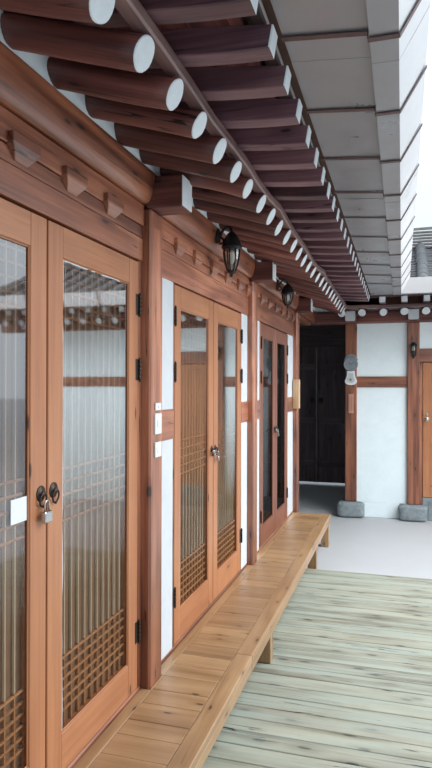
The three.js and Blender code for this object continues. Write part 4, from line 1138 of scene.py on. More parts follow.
# sliding lock bars on the second and third pairs
for n, (ya, yb) in ((3, (3700, 3790)), (5, (5736, 5826))):
    k = Kit()
    c = (LEAVES[n - 1][1] + LEAVES[n][0]) / 2
    bar(k, 17, 25, c - 66, c - 6, 1296, 1312, 2, "y", 0, 0.5)
    lathe(k, (21, c - 60, 1304), (1, 0, 0), [(-6, 12), (4, 12), (7, 9), (8, 3)], 16, 0)
    tube(k, [(21, c - 60, 1304), (34, c - 60, 1304), (40, c - 72, 1300), (41, c - 104, 1292), (39, c - 112, 1290)], 5.2, 9, 0)
    done(outward(k.build(f"lever_{n}", [STEEL])), f"leaf_{n}")
    k = Kit()
    padlock(k, 14, c + 36, 1236, 34, 30, 0)
    done(outward(k.build(f"padlock_{n + 1}", [STEEL])), f"leaf_{n + 1}")

# sills and floor boards of the wing
k = Kit()
for i in range(3):
    bar(k, -125, -0.5, POST_Y[i] + 75.3, POST_Y[i + 1] - 75.3, 225.3, 338, 5, "y", 0, 0.5)
x = -2449.0
while x < -106:
    e = min(x + 150, -105.5)
    bar(k, x, e - 1.5, 1029.2, 6809.5, 262, 300, 2, "y")
    x = e
bar(k, -2440, -130, 1035, 6800, 225.4, 261, 2, "y", 0, 0.1)
done(outward(k.build("west_floor", [TIMBER])), "root", ["wing_floor"])


# ---------------------------------------------------------------------------
# dressed stone courses round the base of the west wing and the north wing
# ---------------------------------------------------------------------------
def course(k, axis, a, b, f0, f1, z0, z1, rows=1, wide=(300, 520)):
    """Blocks from a to b along the axis; f0..f1 is the depth of the face stones."""
    hz = (z1 - z0) / rows
    for r in range(rows):
        s = a
        while s < b - 1:
            e = s + wide[0] + rng.random() * (wide[1] - wide[0])
            if b - e < wide[0] * 0.6:
                e = b
            z0r, z1r = z0 + r * hz, z0 + (r + 1) * hz
            sh = rng.random() * 4
            if axis == "x":
                bar(k, s + 1.5, e - 1.5, f0 + (sh if f0 < f1 else 0), f1, z0r + 1, z1r - (1 if r < rows - 1 else 0.4), 9, "x")
            else:
                bar(k, f0, f1 - sh, s + 1.5, e - 1.5, z0r + 1, z1r - (1 if r < rows - 1 else 0.4), 9, "y")
            s = e


k = Kit()
bar(k, -2590, 30, 912, 6925, 0, 223, 4, "y", 0, 0.3)
course(k, "y", 903, 6935, -60, 40, 0, 225, 1)
course(k, "y", 903, 6935, -2600, -2500, 0, 225, 1)
course(k, "x", -2600, 40, 903, 960, 0, 225, 1)
course(k, "x", -2600, 40, 6880, 6935, 0, 225, 1)
done(outward(k.build("west_plinth", [STONE])), "root", ["wing_base"])

# ---------------------------------------------------------------------------
# north wing front
# ---------------------------------------------------------------------------
PF, F, PB = 8300, 8345, 8450
ET = 2532.7
k = Kit()
p = Kit()
bar(k, 433, 583, PF, PB, 200.3, ET, 9, "z", 0, 0.25)
bar(k, 1213, 1365, PF, PB, 200.3, ET, 9, "z", 0, 0.6)
bar(k, 578, 1218, F - 22, 8440, 1700, 1840, 4, "x", 0, 0.7)
bar(k, 1360, 1401, F, PB, 200.3, 2026, 4, "z", 0, 0.5)
bar(p, 578, 1218, F, 8435, 200.3, ET, 1, "x")
done(outward(k.build("north_posts_left", [TIMBER])), "root", ["end_wall_left"])
done(outward(p.build("north_plaster_left", [PLASTER])), "root")
k = Kit()
p = Kit()
bar(k, 2302, 2458, PF, PB, 200.3, ET, 9, "z", 0, 0.5)
bar(k, 4225, 4375, PF, PB, 200.3, ET, 9, "z", 0, 0.5)
bar(k, 2450, 4230, F - 22, 8440, 1700, 1840, 4, "x", 0, 0.6)
bar(k, 2213, 2308, F, PB, 200.3, 2026, 4, "z", 0, 0.5)
bar(p, 2450, 4230, F, 8435, 200.3, ET, 1, "x")
done(outward(k.build("north_posts_right", [TIMBER])), "root", ["end_wall_right"])
done(outward(p.build("north_plaster_right", [PLASTER])), "root")
k = Kit()
p = Kit()
bar(k, 1365.3, 2301.7, F - 22, 8440, 2026.3, 2195, 5, "x", 0, 0.55)
bar(p, 1365.3, 2301.7, F, 8435, 2190, ET, 1, "x")
done(outward(k.build("north_door_head", [TIMBER])), "root", ["end_door_head"])
done(outward(p.build("north_plaster_over_door", [PLASTER])), "root")

# beam on top, heads, and the filling above
k = Kit()
sect2 = [(8450, 2539), (8446, 2533.4), (8300, 2533.4), (8287, 2541), (8280, 2556), (8280, 2660), (8286, 2684), (8298, 2694.6), (8440, 2694.6), (8450, 2688)]
st2 = np.concatenate([[-2449.7, -2446], np.linspace(-2300, 4700, 30), [4821, 4825]])
w2 = smooth_noise(len(st2), 12, 1.8)


def beam_pt(y, z, s):
    i = int(np.argmin(np.abs(st2 - s)))
    e = 0.94 if s in (st2[0], st2[-1]) else 1.0
    yy = 8365 + (y - 8365) * e
    if y < 8365:
        yy = max(yy + abs(w2[i]), 8280)
    return (s, yy, 2614 + (z - 2614) * e)


sweep(k, sect2, beam_pt, st2, 0, 0.35)
for x in END_POSTS:
    prism(k, [(x - 70, 2561), (x - 57, 2546), (x + 57, 2546), (x + 70, 2561), (x + 70, 2684), (x + 63, 2690), (x - 63, 2690), (x - 70, 2684)], "y", 8151.6, 8330, 3, 0, 0.25)
    prism(k, [(x - 64, 2565), (x - 52, 2553), (x + 52, 2553), (x + 64, 2565), (x + 64, 2678), (x + 57, 2684), (x - 57, 2684), (x - 64, 2678)], "y", 8150, 8155, 1.2, 1, 0.5)
# the beam takes the dark rafter wood: painted shade under the eaves
done(outward(k.build("north_beam", [RAFTER, PAINT])), "root", ["end_beam"])
k = Kit()
bar(k, 10, 4375, F + 2, 8433, 2690, 2821, 2, "x")
done(outward(k.build("north_eaves_plaster", [PLASTER])), "root")

# boarded door of the north wing
k = Kit()
dx0, dx1, dz0, dz1 = 1408, 2207, 297, 2017
bar(k, dx0, dx0 + 92, F + 0.5, F + 40, dz0, dz1, 2.5, "z", 0, 0.6)
bar(k, dx1 - 92, dx1, F + 0.5, F + 40, dz0, dz1, 2.5, "z", 0, 0.7)
for a, b in ((dz0, dz0 + 150), (980, 1080), (dz1 - 110, dz1)):
    bar(k, dx0 + 91.5, dx1 - 91.5, F + 1.2, F + 39, a, b, 2.0, "x", 0, 0.55)
x = dx0 + 92
for lo, hi in ((dz0 + 149, 981), (1079, dz1 - 109)):
    x = dx0 + 91.5
    while x < dx1 - 93:
        e = min(x + 123.0, dx1 - 91.5)
        bar(k, x, e - 1.0, F + 9, F + 31, lo, hi, 2.6, "z")
        x = e
done(outward(k.build("north_door_leaf", [DOORW])), "end_door", ["end_door"])
k = Kit()
kx, kz = dx0 + 46, 1290
lathe(k, (kx, F + 0.6, kz), (0, -1, 0), [(0, 31), (2, 31), (4, 27), (5, 14), (14, 11), (24, 11), (31, 20), (40, 26), (50, 25), (57, 17), (59, 3)], 24, 0)
lathe(k, (kx, F + 0.6, kz + 62), (0, -1, 0), [(0, 17), (2.4, 17), (4, 14), (4.4, 4)], 18, 0)
done(outward(k.build("north_door_knob", [STEEL])), "end_door")
k = Kit()
for z in (1800, 560):
    for q in range(5):
        lathe(k, (2213, 8337, z - 45 + q * 18), (0, 0, 1), [(0.4, 5.6), (1, 6.3), (16.6, 6.3), (17.4, 5.6)], 14, 0)
    bar(k, 2178, 2207, F - 2.0, F + 1, z - 45, z + 45, 0.7, "z", 0)
done(outward(k.build("north_door_hinges", [IRON])), "end_door")

# base of the north wing: rough stones under the posts, a rendered plinth between
k = Kit()
bar(k, 600, 4370, F + 12, 10935, 0, 197, 6, "x", 1, 0.5)
bar(k, 600, 4225, 8462, 10800, 190, 280, 3, "x", 1, 0.5)
bar(k, 1401.5, 2212.5, F + 2, 8470, 190, 290, 6, "x", 0, 0.5)
bar(k, 580.5, 1120, F + 1, F + 60, 0, 199.5, 5, "x", 2, 0.5)
bar(k, 1470, 2200, F + 1, F + 60, 0, 199.5, 5, "x", 0, 0.6)
bar(k, 2560, 4120, F + 1, F + 60, 0, 199.5, 5, "x", 2, 0.5)
course(k, "x", 581, 4375, 10890, 10945, 0, 200, 1)
course(k, "y", 8502, 10945, 4300, 4375, 0, 200, 1)
for x in END_POSTS:
    c = max(x, 508)
    boulder(k, min(c, 4225), (8185 + 8500) / 2, 0, 200, 189, 157, 0)
done(outward(k.build("north_plinth", [STONE, BASE, PLASTER])), "root", ["end_base"])

# ---------------------------------------------------------------------------
# gate hall: gate leaves, head, walls
# ---------------------------------------------------------------------------
gw = (430 + 982 - 12 - 10) / 2
for nm, gx, pin in (("left", -976, -982), ("right", 424 - gw, 430)):
    k = Kit()
    x = gx
    c = 0
    while x < gx + gw - 1:
        e = min(x + gw / 5, gx + gw)
        bar(k, x + 0.4, e - 0.9, 10839, 10876, 40, 2400 - rng.random() * 2, 2.6, "z")
        x = e
    mx_ = gx + gw if nm == "left" else gx          # meeting edge, 8 mm between the two
    bar(k, mx_ - (24 if nm == "left" else 1), mx_ + (1 if nm == "left" else 24), 10812, 10876, 40, 2399, 1.2, "z", 0, 0.4)
    for z, h in ((2044, 105), (1105, 105), (360, 105)):
        bar(k, gx + 6, gx + gw - 6, 10826, 10840, z - h / 2, z + h / 2, 4, "x", 0, 0.9)
    done(outward(k.build(f"gate_boards_{nm}", [GATEW])), f"gate_{nm}", [f"gate_leaf_{nm}"])
    k = Kit()
    cx_ = gx + gw - 70 if nm == "left" else gx + 70
    lathe(k, (cx_, 10839.5, 1466), (0, -1, 0), [(0, 46), (2.4, 46), (5, 38), (6, 20), (11, 17), (19, 12), (23, 3)], 22, 0)
    th = np.linspace(0, np.pi * 2, 29)[:-1]
    tube(k, [(cx_ + 34 * np.sin(q), 10839.5 - 15 - 2 * np.cos(q), 1466 - 34 + 36 * np.cos(q)) for q in th], 4.6, 9, 0, True)
    for z in (2044, 1105, 360):
        for q in range(4):
            lathe(k, (gx + 40 + q * (gw - 80) / 3, 10826.4, z), (0, -1, 0), [(0, 9), (1.5, 8.6), (4, 5.5), (5.2, 1)], 12, 0)
    done(outward(k.build(f"gate_iron_{nm}", [IRON])), f"gate_{nm}")


def under(d):
    return rz(d) + 53.5 - 1.5


def gable_slab_y(k, x0, x1, y0, y1, z0, mat=0):
    prism(k, [(x0, z0), (x1, z0), (x1, under(x1 - RIDGE_X)), (RIDGE_X, under(0)), (x0, under(RIDGE_X - x0))], "y", y0, y1, 1.0, mat)


def gable_slab_x(k, y0, y1, x0, x1, z0, mat=0):
    prism(k, [(y0, z0), (y1, z0), (y1, under(y1 - RIDGE_Y)), (RIDGE_Y, under(0)), (y0, under(RIDGE_Y - y0))], "x", x0, x1, 1.0, mat)


RAILS = [(228, 345), (1440, 1595), (2383, 2512)]
# south gable wall
k, p = Kit(), Kit()
gable_slab_y(p, -2449.7, -105.3, 928, 1028, 225.3)
bar(k, -1375, -1225, 903, 963, 225.3, 2516, 6, "z")
bar(k, -1375, -1225, 450, 963, 2900, 3080, 12, "y", 0, 0.4)
for a, b in RAILS:
    bar(k, -2449.7, -1375, 909, 963, a, b, 4, "x")
    bar(k, -1225, -105.3, 909, 963, a, b, 4, "x")
bar(k, -1360, -1240, 915, 963, 2512, 2905, 5, "z", 0, 0.3)
done(outward(k.build("south_wall_timber", [TIMBER])), "root", ["south_wall"])
done(outward(p.build("south_wall_plaster", [PLASTER])), "root")
# wall towards the gate hall
k, p = Kit(), Kit()
gable_slab_y(p, -2449.7, -105.3, 6810, 6910, 225.3)
bar(k, -1375, -1225, 6860, 6935, 225.3, 2516, 6, "z")
for a, b in RAILS:
    bar(k, -2449.7, -1375, 6860, 6929, a, b, 4, "x")
    bar(k, -1225, -105.3, 6860, 6929, a, b, 4, "x")
done(outward(k.build("hall_south_timber", [TIMBER])), "root", ["hall_south_wall"])
done(outward(p.build("hall_south_plaster", [PLASTER])), "root")
# west back wall
k, p = Kit(), Kit()
bar(p, -2575, -2475, 904, 10920, 225.3, under(1275), 1, "y")
bar(p, -2575, -2475, 6935.3, 10920, 0, 265, 1, "y")
wp = POST_Y + [8345, 10870]
for y in wp:
    bar(k, -2600, -2450, y - 75, y + 75, 0 if y > 7000 else 225.3, 2514, 7, "z")
cuts = [905] + [v for y in wp for v in (y - 75, y + 75)] + [10943]
for q in range(0, len(cuts), 2):
    a, b = cuts[q], cuts[q + 1]
    if b - a > 60:
        for z0, z1 in RAILS:
            bar(k, -2594, -2500, a, b, z0, z1, 4, "y")
bar(k, -2665, -2495, 450, 11010, 2510, 2695, 16, "y", 0, 0.4)
done(outward(k.build("west_wall_timber", [TIMBER])), "root", ["west_wall"])
done(outward(p.build("west_wall_plaster", [PLASTER])), "root")
# back wall, west of the gate
k, p = Kit(), Kit()
bar(p, -2449.7, -984, 10820, 10920, 0, under(1275), 1, "x")
bar(k, -1132, -982, 10795, 10945, 0, 2516, 7, "z")
for a, b in RAILS:
    bar(k, -2449.7, -1132, 10880, 10939, a, b, 4, "x")
bar(k, -2449.7, -982, 10840, 11010, 2510, 2695, 16, "x", 0, 0.4)
done(outward(k.build("gate_wall_timber", [TIMBER])), "root", ["north_wall_west"])
done(outward(p.build("gate_wall_plaster", [PLASTER])), "root")
k, p = Kit(), Kit()
bar(k, -981.7, 429.7, 10810, 10930, 2410, 2516, 6, "x", 1, 0.3)
bar(p, -981.7, 429.7, 10830, 10920, 2500, under(1275), 1, "x")
bar(k, -981.7, 429.7, 10820, 10831, 2517, under(1275) - 1, 2, "x", 1, 0.3)
for x in (-981.7, 411.7):
    bar(k, x, x + 18, 10884, 10930, 30, 2411, 2, "z", 1, 0.3)
bar(k, -981.7, 429.7, 10884, 10930, 2380, 2412, 2, "x", 1, 0.3)
bar(k, -981.7, 429.7, 10840, 11010, 2510, 2695, 16, "x", 0, 0.4)
done(outward(k.build("gate_lintel", [TIMBER, GATEW])), "root", ["gate_head"])
done(outward(p.build("gate_lintel_plaster", [PLASTER])), "root")
# back wall of the north wing
k, p = Kit(), Kit()
bar(k, 430, 580, 10795, 10945, 0, 2516, 7, "z")
bar(p, 432, 4373, 10820, 10920, 200.3, under(1275), 1, "x")
for x in (1289, 2380):
    bar(k, x - 75, x + 75, 10870, 10945, 200.3, 2516, 7, "z")
bar(k, 4225, 4375, 10795, 10945, 200.3, 2516, 7, "z")
for a, b in ((580, 1214), (1364, 2305), (2455, 4225)):
    for z0, z1 in ((203.3, 320), (1440, 1595), (2383, 2512)):
        bar(k, a, b, 10880, 10939, z0, z1, 4, "x")
bar(k, 430, 4825, 10840, 11010, 2510, 2695, 16, "x", 0, 0.4)
done(outward(k.build("north_wall_timber", [TIMBER])), "root", ["north_wall_east"])
done(outward(p.build("north_wall_plaster", [PLASTER])), "root")
# hall's east wall
p = Kit()
gable_slab_x(p, 8450.3, 10794.7, 450, 580, 0)
done(outward(p.build("hall_east_plaster", [PLASTER])), "root", ["hall_east_wall"])
# east gable wall
k, p = Kit(), Kit()
gable_slab_x(p, 8450.3, 10794.7, 4250, 4350, 200.3)
bar(k, 4315, 4375, RIDGE_Y - 75, RIDGE_Y + 75, 200.3, 2516, 6, "z")
bar(k, 4315, 4825, RIDGE_Y - 75, RIDGE_Y + 75, 2900, 3080, 12, "x", 0, 0.4)
bar(k, 4325, 4366, RIDGE_Y - 60, RIDGE_Y + 60, 2512, 2905, 5, "z", 0, 0.3)
for a, b in ((8450.3, RIDGE_Y - 75), (RIDGE_Y + 75, 10794.7)):
    for z0, z1 in ((203.3, 320), (1440, 1595), (2383, 2512)):
        bar(k, 4315, 4369, a, b, z0, z1, 4, "y")
done(outward(k.build("east_wall_timber", [TIMBER])), "root", ["east_wall"])
done(outward(p.build("east_wall_plaster", [PLASTER])), "root")

# ---------------------------------------------------------------------------
# tiled roof: bed, boards under the eaves, troughs, cover tiles, ridges, verges
# ---------------------------------------------------------------------------
INN = np.polyfit([0, 700, 1400, 2092], [3850, 3480, 3165, 2908], 3)
OUT = np.polyfit([0, 700, 1400, 2100], [3850, 3420, 3060, 2770], 3)
zin = lambda d: np.polyval(INN, d)
zout = lambda d: np.polyval(OUT, d)
TI = ([0, 700, 1400, 2092], [3850, 3480, 3165, 2908])
TO = ([0, 700, 1400, 2100], [3850, 3420, 3060, 2770])


def rings(k, F, ds, secs, mat, tones, smooth=True):
    """Closed sections along a slope: secs[i] is a list of (side, z) at ds[i]."""
    n = len(secs[0])
    m = len(ds)
    V, G, T = [], [], []
    for i in range(m):
        for s, z in secs[i]:
            V.append(F(ds[i], s, z))
            G.append((ds[i], s, z))
            T.append(tones[i])
    j = np.arange(n)
    kk = (j + 1) % n
    q = np.concatenate([np.stack([i * n + j, i * n + kk, (i + 1) * n + kk, (i + 1) * n + j], 1) for i in range(m - 1)])
    base = k.n
    k.add(V, [q], G, mat, smooth, np.array(T))
    k.polys.setdefault((n, mat, False), []).append(np.arange(n)[::-1][None] + base)
    k.polys.setdefault((n, mat, False), []).append((np.arange(n) + (m - 1) * n)[None] + base)


ARC = np.linspace(0, np.pi, 9)


def cover_row(k, F, s, da, db, zf, plug=True, step=250.0, r0=68.0, r1=76.0):
    if db - da < 60:
        return
    b = np.arange(db, da + 40, -step)[::-1]
    b = np.concatenate([[da], b]) if b[0] > da + 5 else b
    ds, secs, tones = [], [], []
    for i in range(len(b) - 1):
        js, jz, t = rng.normal() * 2.5, rng.normal() * 1.5, rng.random()
        for d, r in ((b[i], r0), (b[i + 1] - 6, r1), (b[i + 1], r1 - 3)):
            z = zf(d) - 34 + jz
            ds.append(d)
            secs.append([(s + js - r * c, z + r * 0.92 * q) for c, q in zip(np.cos(ARC), np.sin(ARC))])
            tones.append(t)
    rings(k, F, ds, secs, 0, tones, False)
    if plug:
        z = zf(db) - 33
        r = r1 - 9
        sec = [(s + js - r * c, z + r * 0.9 * q) for c, q in zip(np.cos(ARC), np.sin(ARC))]
        r -= 5
        sec2 = [(s + js - r * c, z + 2 + r * 0.88 * q) for c, q in zip(np.cos(ARC), np.sin(ARC))]
        rings(k, F, [db - 20, db + 1.5, db + 3.5], [sec, sec, sec2], 1, [0.5, 0.5, 0.5], False)


SIDE = np.linspace(-112, 112, 7)


def trough_row(k, F, s, da, db, zf, step=118.0):
    if db - da < 60:
        return
    b = np.arange(db, da + 30, -step)[::-1]
    b = np.concatenate([[da], b]) if b[0] > da + 5 else b
    ds, secs, tones = [], [], []
    for i in range(len(b) - 1):
        js, jz, t = rng.normal() * 2, rng.normal() * 1.2, rng.random()
        for d, o in ((b[i], -9), (b[i + 1], 7)):
            z = zf(d) - 62 + o + jz
            ds.append(d)
            top = [(s + js + x, z + 27 * (x / 112) ** 2) for x in SIDE]
            secs.append(top + [(s + js + 112, z - 13), (s + js - 112, z - 13)])
            tones.append(t)
    rings(k, F, ds, secs, 0, tones, False)


def stack(k, F, s, d0, d1, zf, half, layers, th, base, cap_r, n=None, mat=0, top=None):
    """Ridge of flat courses with mortar between and a row of cover tiles on top; s is its middle."""
    n = n or max(6, int(abs(d1 - d0) / 160))
    ds = np.linspace(d0, d1, n)
    tall = lambda d: (top(d) - zf(d) - base - cap_r * 0.92) / layers if top else th
    for q in range(layers):
        w = half - q * (half * 0.24 / layers)
        secs = []
        for d in ds:
            h = tall(d)
            z0 = zf(d) + base + q * h
            z1 = z0 + h - min(13, h * 0.3)
            e = rng.normal() * 0.8
            secs.append([(s - w, z0), (s + w, z0 + e), (s + w + 2, (z0 + z1) / 2), (s + w - 2, z1), (s - w + 2, z1 + e), (s - w - 2, (z0 + z1) / 2)])
        rings(k, F, ds, secs, 0, rng.random(n))
        secs = []
        for d in ds:
            h = tall(d)
            z0 = zf(d) + base + q * h + h - min(14, h * 0.32)
            z1 = zf(d) + base + (q + 1) * h + 1
            secs.append([(s - w + 13, z0), (s + w - 13, z0), (s + w - 13, z1), (s - w + 13, z1)])
        rings(k, F, ds, secs, 1, np.full(n, 0.4))
    cnt = max(2, int(abs(d1 - d0) / 270))
    cuts = np.linspace(d0, d1, cnt + 1)
    for a, b in zip(cuts[:-1], cuts[1:]):
        t = rng.random()
        secs, dd = [], []
        for d, r in ((a, cap_r * 0.93), ((a + b) / 2, cap_r * 0.97), (b - (b - a) * 0.01, cap_r)):
            z = zf(d) + base + layers * tall(d) - 3
            secs.append([(s - r * c, z + r * 0.92 * q) for c, q in zip(np.cos(ARC), np.sin(ARC))])
            dd.append(d)
        rings(k, F, dd, secs, 0, [t] * 3, False)


PITCH = 268.0


def slope(name, F, s_from, s_to, lim, zf, d_end, node, verge, into):
    """One slope. lim(s) gives the (start, end) d of a row at s."""
    k = Kit()
    s = s_from
    if into > 0:       # the trough between the first cover row and the verge
        a, b = lim(s)
        trough_row(k, F, s - PITCH / 2, a, b, zf)
    while s <= s_to:
        a, b = lim(s)
        cover_row(k, F, s, a, b, zf, b > d_end - 5)
        a, b = lim(s + PITCH / 2)
        trough_row(k, F, s + PITCH / 2, a, b, zf)
        s += PITCH
    # verge: short tiles laid across, out to the gable edge
    for d in np.arange(210, d_end - 30, 236.0):
        t = rng.random()
        e0, e1 = verge
        for q, (u0, u1) in enumerate(((e0, e0 + (e1 - e0) * 0.55), (e0 + (e1 - e0) * 0.5, e1))):
            sec = []
            for u, r in ((u0, 66 + 3 * q), (u1, 72 - 3 * q)):
                for c, w in zip(np.cos(ARC), np.sin(ARC)):
                    dd = min(d - r * c, d_end)
                    sec.append(F(dd, u, zf(dd) - 40 + q * 5 + r * 0.85 * w))
            j = np.arange(9)
            kk = (j + 1) % 9
            base = k.n
            k.add(sec, [np.stack([j, kk, 9 + kk, 9 + j], 1)], np.array(sec), 0, False, t)
            k.polys.setdefault((9, 0, False), []).append(np.arange(9)[::-1][None] + base)
            k.polys.setdefault((9, 1, False), []).append((np.arange(9) + 9)[None] + base)
        dd = np.clip(np.array([d + 50, d + 84, d + 118, d + 152, d + 186]), 0, d_end)
        lo = [(x, zf(x) - 62 + 20 * ((i - 2) / 2) ** 2) for i, x in enumerate(dd)]
        sec = []
        for u in verge:
            sec += [F(x, u, z) for x, z in lo] + [F(dd[-1], u, zf(dd[-1]) - 78), F(dd[0], u, zf(dd[0]) - 78)]
        if dd[-1] - dd[0] > 40:
            base = k.n
            j = np.arange(7)
            kk = (j + 1) % 7
            k.add(sec, [np.stack([j, kk, 7 + kk, 7 + j], 1)], np.array(sec), 0, False, rng.random())
            k.polys.setdefault((7, 0, False), []).append(np.arange(7)[::-1][None] + base)
            k.polys.setdefault((7, 0, False), []).append((np.arange(7) + 7)[None] + base)
    # descending ridge beside the verge
    stack(k, F, verge[1] + into * 20, 150, d_end - 60, zf, 92, 3, 34, -18, 66)
    return done(outward(k.build(name, [TILE, MORTAR])), "root")


GY = ROOF_S + 335
GX = ROOF_E - 335
slope("tiles_west_court", W, GY + 190, 9500, lambda s: (110, min(2086, RIDGE_Y - s - 40)), zin, 2086, None, (ROOF_S + 3, GY - 75), 1)
slope("tiles_west_back", WO, GY + 190, 11700, lambda s: (max(110, s - RIDGE_Y + 70), 2094), zout, 2094, None, (ROOF_S + 3, GY - 75), 1)
sN = lambda s: GX - 190 - (s - 0)
k_n = [GX - 190 - PITCH * i for i in range(60)]
start = [s for s in k_n if s > -1150][-1]
slope("tiles_north_court", N, start, GX - 180, lambda s: (110, min(2086, s - RIDGE_X - 40)), zin, 2086, None, (ROOF_E - 3, GX + 75), -1)
start = [s for s in k_n if s > -3380][-1]
slope("tiles_north_back", NO, start, GX - 180, lambda s: (max(110, RIDGE_X - s + 70), 2094), zout, 2094, None, (ROOF_E - 3, GX + 75), -1)


def lift(e):
    """Ridge height at e from its gable end."""
    return np.interp(e, [0, 250, 700, 1400, 2200, 3000], [4196, 4166, 4116, 4084, 4072, 4070])


k = Kit()
FR = lambda d, s, z: (RIDGE_X + s, d, z)
stack(k, FR, 0, ROOF_S + 40, RIDGE_Y + 120, lambda y: 3700, 118, 6, 0, 30, 74, None, 0, lambda y: lift(y - ROOF_S) - 2)
prism(k, [(RIDGE_X - 128, 3700), (RIDGE_X + 128, 3700), (RIDGE_X + 130, 3990), (RIDGE_X + 96, 4110), (RIDGE_X + 40, 4180), (RIDGE_X, 4196), (RIDGE_X - 40, 4180), (RIDGE_X - 96, 4110), (RIDGE_X - 130, 3990)], "y", ROOF_S + 6, ROOF_S + 44, 5, 0, 0.4)
prism(k, [(RIDGE_X - 96, 3760), (RIDGE_X + 96, 3760), (RIDGE_X + 98, 3970), (RIDGE_X + 70, 4075), (RIDGE_X, 4140), (RIDGE_X - 70, 4075), (RIDGE_X - 98, 3970)], "y", ROOF_S + 1, ROOF_S + 12, 3, 0, 0.5)
done(outward(k.build("ridge_west", [TILE, MORTAR])), "root", ["wing_ridge"])
k = Kit()
FR2 = lambda d, s, z: (d, RIDGE_Y + s, z)
stack(k, FR2, 0, RIDGE_X - 120, ROOF_E - 40, lambda x: 3700, 118, 6, 0, 30, 74, None, 0, lambda x: lift(ROOF_E - x) - 2)
prism(k, [(RIDGE_Y - 128, 3700), (RIDGE_Y + 128, 3700), (RIDGE_Y + 130, 3990), (RIDGE_Y + 96, 4110), (RIDGE_Y + 40, 4180), (RIDGE_Y, 4196), (RIDGE_Y - 40, 4180), (RIDGE_Y - 96, 4110), (RIDGE_Y - 130, 3990)], "x", ROOF_E - 44, ROOF_E - 6, 5, 0, 0.4)
prism(k, [(RIDGE_Y - 96, 3760), (RIDGE_Y + 96, 3760), (RIDGE_Y + 98, 3970), (RIDGE_Y + 70, 4075), (RIDGE_Y, 4140), (RIDGE_Y - 70, 4075), (RIDGE_Y - 98, 3970)], "x", ROOF_E - 12, ROOF_E - 1, 3, 0, 0.5)
done(outward(k.build("ridge_north", [TILE, MORTAR])), "root", ["end_ridge"])

# hip ridge over the outer corner and valley tiles over the inner one
k = Kit()
q2 = 1 / math.sqrt(2)
FH = lambda d, s, z: (RIDGE_X - d + s * q2, RIDGE_Y + d + s * q2, z)
stack(k, FH, 0, 60, 2020, zout, 96, 4, 34, -22, 68)
prism(k, [(RIDGE_X - 2094, zout(2080) - 70)] and [(-110, 0), (110, 0), (112, 150), (70, 235), (0, 262), (-70, 235), (-112, 150)], "y", 0, 34, 5, 0, 0.4)
v = k.v[-1]
loc = v.copy()
k.v[-1] = np.stack([RIDGE_X - 1985 + loc[:, 0] * q2 - loc[:, 1] * q2, RIDGE_Y + 1985 + loc[:, 0] * q2 + loc[:, 1] * q2, zout(2050) - 50 + loc[:, 2]], 1)
FV = lambda d, s, z: (RIDGE_X + d + s * q2, RIDGE_Y - d + s * q2, z)
ds, secs, tones = [], [], []
b = np.arange(2060, 60, -150.0)[::-1]
for i in range(len(b) - 1):
    t = rng.random()
    for d, o in ((b[i], -6), (b[i + 1], 8)):
        z = zin(d) - 66 + o
        ds.append(d)
        secs.append([(x, z + 44 * (x / 150) ** 2) for x in np.linspace(-150, 150, 9)] + [(150, z - 16), (-150, z - 16)])
        tones.append(t)
rings(k, FV, ds, secs, 0, tones, False)
done(outward(k.build("hip_and_valley", [TILE, MORTAR])), "root")


def bed(node, name):
    """The body under the tiles: the CAD shape with its top let down under the troughs."""
    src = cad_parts[node]
    me = src.data.copy()
    me.name = name
    co = np.zeros(len(me.vertices) * 3, np.float32)
    me.vertices.foreach_get("co", co)
    co = co.reshape(-1, 3).astype(float)
    P = co * 1000 - np.array([OX, OY, 0])
    x, y, z = P[:, 0], P[:, 1], P[:, 2]
    cand = []
    for d, prof in ((x - RIDGE_X, TI), (RIDGE_Y - y, TI), (RIDGE_X - x, TO), (y - RIDGE_Y, TO)):
        t = np.interp(d, *prof)
        cand.append((d > -1) & (np.abs(z - t) < 2.0))
    hit = np.any(cand, axis=0)
    co[hit, 2] -= 0.078
    me.vertices.foreach_set("co", co.astype(np.float32).ravel())
    me.materials.clear()
    me.materials.append(BEDM)
    me.update()
    ob = bpy.data.objects.new(name, me)
    bpy.context.scene.collection.objects.link(ob)
    return done(ob, "root", [node])


bed("wing_roof", "roof_bed_west")
bed("end_roof", "roof_bed_north")

# boards seen between the rafters
k = Kit()


def boards(F, d0, d1, s0, s1, zf, thick=7.0, mat=0, lim=None):
    d = d0
    while d < d1 - 5:
        w = 118 + rng.random() * 30
        e = min(d + w, d1)
        n0, n1 = zf(d + 1), zf(e - 1)
        a, b = s0, s1
        la, lb = (lim(d), lim(e)) if lim else (None, None)
        t = rng.random()
        V, G = [], []
        off = rng.random(3) * 900
        for end in (0, 1):
            for dd, zz in ((d + 1.2, n0), (e - 1.2, n1), (e - 1.2, n1 + thick), (d + 1.2, n0 + thick)):
                s = (s0, s1)[end]
                if lim:
                    l0, l1 = lim(dd)
                    s = (l0, l1)[end]
                V.append(F(dd, s, zz))
                G.append((s + off[0], dd + off[1], zz + off[2]))
        f = np.array([[0, 1, 5, 4], [1, 2, 6, 5], [2, 3, 7, 6], [3, 0, 4, 7], [3, 2, 1, 0], [4, 5, 6, 7]])
        k.add(V, [f], G, mat, False, t)
        d = e


